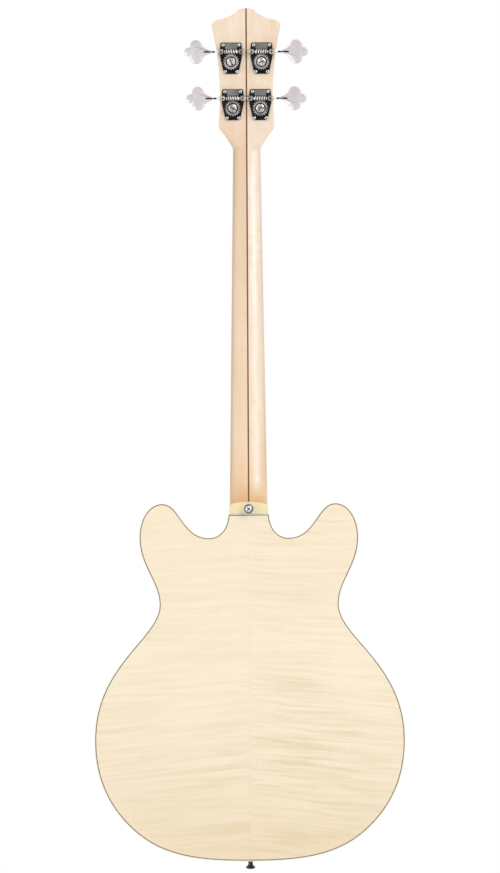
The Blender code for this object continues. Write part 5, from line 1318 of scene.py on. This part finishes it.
def make_key(letter, matrix):
    """Key, shaft and worm, at the angle at which the key rests."""
    body = "tuner_key_" + letter
    place = matrix @ Matrix.Translation((0, GEAR_TO_WORM, GEAR_MID_W))
    piece("worm_shaft_" + letter, worm_shape(), WORM_METAL, place, body, (body,), 30)
    # Painted shade: dark sleeves that show between the worm's teeth and in the gaps by the lugs.
    near, far = LUG_INNER - 1.6 * MM, LUG_INNER - 0.25 * MM
    shade_sleeves = []
    for start, end, radius in ((-WORM_HALF, WORM_HALF, 2.1), (near, far, 3.15), (-far, -near, 3.15)):
        shade_sleeves.append(moved(rod(radius * MM, 0, end - start, 24), lying_at(start)))
    piece("worm_collars_" + letter, joined(*shade_sleeves), PAINTED_SHADE_AND_REFLECTION, place, body)
    # The stem is the real shaft over the key's flare, made dark as a painted reflection of the chrome.
    stem = turned(mm([(0, 0), (0.9, 0), (1.15, 0.4), (1.15, 14.2), (0.6, 15.4), (0, 15.5)]), 20)
    piece("key_stem_" + letter, moved(stem, lying_at(LUG_OUTER + 5.3 * MM)), PAINTED_SHADE_AND_REFLECTION, place, body)
    layers = mm([(2.1, -0.55), (1.5, -0.75), (0.9, -1.15), (0.35, -1.0), (0, -0.45)])
    layers += [(d, -w) for d, w in reversed(layers)]
    leaf = moved(solid(key_outline(), layers), Matrix.Translation((KEY_CENTRE, 0, 0)))
    piece("key_leaf_" + letter, leaf, KEY_METAL, place, body, sharp=50)


def make_tuners():
    for letter, spot in TUNER_SPOTS.items():
        matrix = tuner_matrix(spot)
        make_tuner_plate(letter, matrix)
        make_gear(letter, matrix)
        make_post(letter, matrix)
        make_key(letter, matrix)


# Strap buttons


def make_buttons():
    seat_y = -HEEL_DEPTH - 0.1 * MM - CAP_THICKNESS - 0.1 * MM
    heel = axes((1, 0, 0), (0, 0, 1), (0, -1, 0), (0, seat_y, HEEL_BUTTON_Z))
    end = axes((1, 0, 0), (0, 1, 0), (0, 0, -1), (0, RIM_MID_Y, BODY_BOTTOM_Z - 0.3 * MM))
    profile = mm([
        (0, 0.9), (5.2, 0.9), (5.0, 1.5), (3.9, 2.3), (3.3, 3.6), (3.15, 5.5), (3.2, 8.0), (3.8, 9.4),
        (5.2, 10.6), (6.15, 11.2), (6.4, 11.8), (6.35, 12.6), (5.9, 13.3), (4.9, 13.6), (3.6, 13.4),
        (3.2, 12.6), (0, 12.6),
    ])
    seat = 12.62 * MM
    for name, matrix, material in (("heel", heel, BUTTON_METAL), ("end", end, END_METAL)):
        node = name + "_strap_button"
        piece(name + "_button_turned", turned(profile, 40), material, matrix, replaces=(node,))
        head = screw_head((0, 0, seat), 4.4 * MM, 1.45 * MM, 1, 32)
        piece(name + "_button_screw", head, BRIGHT_METAL, matrix, sharp=30)
        # The cross in the screw head is painted shade.
        cross = painted_recess_shade((0, 0), 3.1 * MM, 0.62 * MM, seat + 0.7 * MM, seat + 1.46 * MM, 0.95)
        piece(name + "_button_cross", cross, PAINTED_SHADE_AND_REFLECTION, matrix)
        washer = turned(mm([(3.0, 0), (5.9, 0), (6.0, 0.4), (5.8, 0.85), (3.0, 0.85)]), 40)
        piece(name + "_button_felt", washer, BLACK_PLASTIC, matrix)


# Front fittings


def make_pickups():
    loop = rounded_rectangle(PICKUP_HALF_WIDTH, PICKUP_HALF_LENGTH, 3.5 * MM, (0, 0), 8)
    for name, z in PICKUP_Z.items():
        node = name + "_pickup"
        low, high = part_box(node)
        top = high[1] - 0.8 * MM
        place = facing_at(0, top, z)
        layers = [(0, low[1] - top)] + mm([(0, -1.8), (0.15, -1.0), (0.6, -0.3), (1.5, 0)])
        piece(node + "_cover", solid(loop, layers), CHROME, place, replaces=(node,), sharp=50)
        spots = [(string_x(i, z), 0) for i in range(4)]
        heads = [screw_head((x, v, 0), 2.4 * MM, 0.75 * MM) for x, v in spots]
        piece(node + "_poles", joined(*heads), STEEL, place, sharp=30)
        sizes = (2.0 * MM, 0.3 * MM, 0.4 * MM, 0.77 * MM)
        # The slots in the pole screws are painted shade.
        slots = [painted_recess_shade(p, *sizes, 0.4 + i, 2) for i, p in enumerate(spots)]
        piece(node + "_pole_slots", joined(*slots), PAINTED_SHADE_AND_REFLECTION, place)
        low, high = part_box(node + "_ring")
        half_x, half_z = [(high[k] - low[k]) / 2 - 3.2 * MM for k in (0, 2)]
        corners = [(a * half_x, b * half_z) for a in (-1, 1) for b in (-1, 1)]
        place = facing_at(0, high[1], z)
        screws_with_crosses(name + "_ring_screws", corners, 0, 1.5 * MM, 0.7 * MM, 1, place, name)


def make_bridge_details():
    """The screws that hold the bridge, and two height screws in each saddle."""
    spots = mm([(-17.5, -38.0), (0, -38.0), (17.5, -38.0)], v=-SCALE_LENGTH)
    place = facing_at(0, BRIDGE_FLOOR_TOP, 0)
    screws_with_crosses("bridge_mounting_screws", spots, 0, 2.0 * MM, 0.9 * MM, 1, place, "bridge")
    for i, letter in enumerate(LETTERS):
        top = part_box("saddle_" + letter)[1][1]
        screws = [rod(1.1 * MM, 0, 0.9 * MM, 16, (x * MM, 0, 0)) for x in (-5.6, 5.6)]
        place = facing_at(string_x(i, -SCALE_LENGTH), top - 1.45 * MM, -SCALE_LENGTH - 4.2 * MM)
        piece("saddle_height_screws_" + letter, joined(*screws), STEEL, place, "saddle_" + letter)


def make_knobs():
    """Fluted knobs with a bright disc on top and a pale pointer on the skirt."""
    profile = [
        (12.0, 0.0), (12.0, 2.6), (11.6, 3.2), (9.7, 4.4),
        (9.1, 5.2), (8.55, 13.6), (8.1, 14.5), (7.2, 14.9),
    ]
    ridge = [(9.2, 4.2), (12.04, 2.3), (12.04, 2.7), (11.68, 3.35), (9.8, 4.55), (9.2, 5.0)]
    angles = [2 * math.pi * i / 96 for i in range(96)]
    for name, (x, z) in KNOBS.items():
        node = "knob_" + name
        low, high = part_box(node)
        foot, top = high[1] - KNOB_HEIGHT, high[1]
        verts = []
        for r, w in profile:
            depth = FLUTE_DEPTH if FLUTES_FROM < w < FLUTES_TO else 0.0
            for a in angles:
                reach = (r - depth * max(0.0, math.cos(KNOB_FLUTES * a))) * MM
                verts.append((reach * math.cos(a), reach * math.sin(a), foot + w * MM))
        shape = (verts, lofted_faces(len(profile), len(angles)))
        place = facing_at(x, 0, z)
        piece(node + "_fluted", shape, BLACK_PLASTIC, place, node, (node,), 50, (x, 0, z))
        piece(node + "_shaft", rod(3.0 * MM, low[1], foot + 0.5 * MM, 20), STEEL, place, node)
        disc = mm([(0, 14.6), (6.6, 14.6)], v=foot) + mm([(6.6, -0.02), (6.3, 0), (0, 0)], v=top)
        piece(node + "_disc", turned(disc, 48), CHROME, place, node)
        verts = [(u * MM, v * MM, foot + w * MM) for u in (-0.55, 0.55) for v, w in ridge]
        piece(node + "_pointer", (verts, lofted_faces(2, len(ridge))), IVORY, place, node)


def make_nuts():
    """Hexagon nuts round the switch and the jack."""
    for name, (x, z), node, across, bore in (
        ("switch", SWITCH_SPOT, "switch_body", 8.3 * MM, 4.7 * MM),
        ("jack", JACK_SPOT, "output_jack", 8.8 * MM, 5.6 * MM),
    ):
        loops = [circle((0, 0), across, 6, 0.3), circle((0, 0), bore, 32)]
        place = facing_at(x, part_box(node)[1][1] + 0.02 * MM, z)
        soften(piece(name + "_hex_nut", slab(loops, -1.2 * MM, 0.5 * MM), CHROME, place), 0.25 * MM)


def dress_nodes():
    """Materials and softened edges for the model's own nodes."""
    saddles = ["saddle_" + letter for letter in LETTERS]
    looks = {
        "center_block": SPRUCE, "truss_rod": STEEL, "bridge_plate": CHROME,
        "neck_pickup_ring": BLACK_PLASTIC, "bridge_pickup_ring": BLACK_PLASTIC,
        "switch_body": NICKEL, "switch_lever": IVORY, "output_jack": CHROME,
    }
    looks.update({name: ROSEWOOD for name in saddles})
    looks.update({"pot_" + name: STEEL for name in KNOBS})
    for name, material in looks.items():
        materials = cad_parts[name].data.materials
        materials.clear()
        materials.append(material)
    for name in ("bridge_plate", "neck_pickup_ring", "bridge_pickup_ring", *saddles):
        soften(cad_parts[name], 0.4 * MM)


# Stage, light and camera


def make_lights():
    for name, (place, size, power) in LIGHTS.items():
        light = bpy.data.lights.new(name, "AREA")
        light.shape = "RECTANGLE"
        light.size, light.size_y = size
        light.energy = power
        obj = linked(name, light)
        obj.location = place
        obj.rotation_mode = "QUATERNION"
        obj.rotation_quaternion = (Vector(LIGHT_AIM) - Vector(place)).to_track_quat("-Z", "Y")
        obj.visible_camera = False


def make_world():
    """A white world, at full strength for what the camera, gloss and glass see of it."""
    world = bpy.data.worlds.new("studio")
    bpy.context.scene.world = world
    world.use_nodes = True
    tree = world.node_tree
    lit, seen = tree.nodes["Background"], tree.nodes.new("ShaderNodeBackground")
    for background, strength in ((lit, WORLD_STRENGTH), (seen, 1.0)):
        background.inputs["Color"].default_value = (1, 1, 1, 1)
        background.inputs["Strength"].default_value = strength
    path = tree.nodes.new("ShaderNodeLightPath")
    direct = path.outputs["Is Camera Ray"]
    for ray in ("Is Glossy Ray", "Is Transmission Ray"):
        either = tree.nodes.new("ShaderNodeMath")
        either.operation = "MAXIMUM"
        tree.links.new(direct, either.inputs[0])
        tree.links.new(path.outputs[ray], either.inputs[1])
        direct = either.outputs[0]
    mixed = tree.nodes.new("ShaderNodeMixShader")
    for socket, source in zip(mixed.inputs, (direct, lit.outputs[0], seen.outputs[0])):
        tree.links.new(source, socket)
    tree.links.new(mixed.outputs[0], tree.nodes["World Output"].inputs["Surface"])


def make_floor():
    verts, faces = rod(FLOOR_RADIUS, -20 * MM, 0, 96, (0, 0, FLOOR_Z))
    mesh = bpy.data.meshes.new("studio_floor")
    mesh.from_pydata(verts, [], faces)
    mesh.materials.append(plain("floor_white", None, (0.9, 0.9, 0.9), 0.6, variation=0.01, scale=20))
    linked("studio_floor", mesh)


def make_camera():
    data = bpy.data.cameras.new("photo_camera")
    data.sensor_width = 36
    data.lens = 18 / (FRAME_HEIGHT / 2 / CAMERA_DISTANCE)
    data.clip_start, data.clip_end = 0.05, 50
    camera = linked("photo_camera", data)
    camera.location = Vector(CAMERA_AIM) + Vector((0, -CAMERA_DISTANCE, 0))
    camera.rotation_mode = "QUATERNION"
    look = Vector((0, 1, 0)).to_track_quat("-Z", "Y")
    camera.rotation_quaternion = Matrix.Rotation(CAMERA_ROLL, 3, "Y").to_quaternion() @ look
    bpy.context.scene.camera = camera


def main():
    tongue = tongue_space()
    make_plates(tongue)
    make_edges(tongue)
    make_sides()
    pocket = make_neck()
    make_heel_cap()
    make_head_front(pocket)
    make_fingerboard()
    make_nut()
    make_strings()
    make_tuners()
    make_buttons()
    make_pickups()
    make_bridge_details()
    make_knobs()
    make_nuts()
    dress_nodes()
    make_floor()
    make_world()
    make_lights()
    make_camera()
    bpy.context.scene.view_settings.view_transform = "Standard"


main()
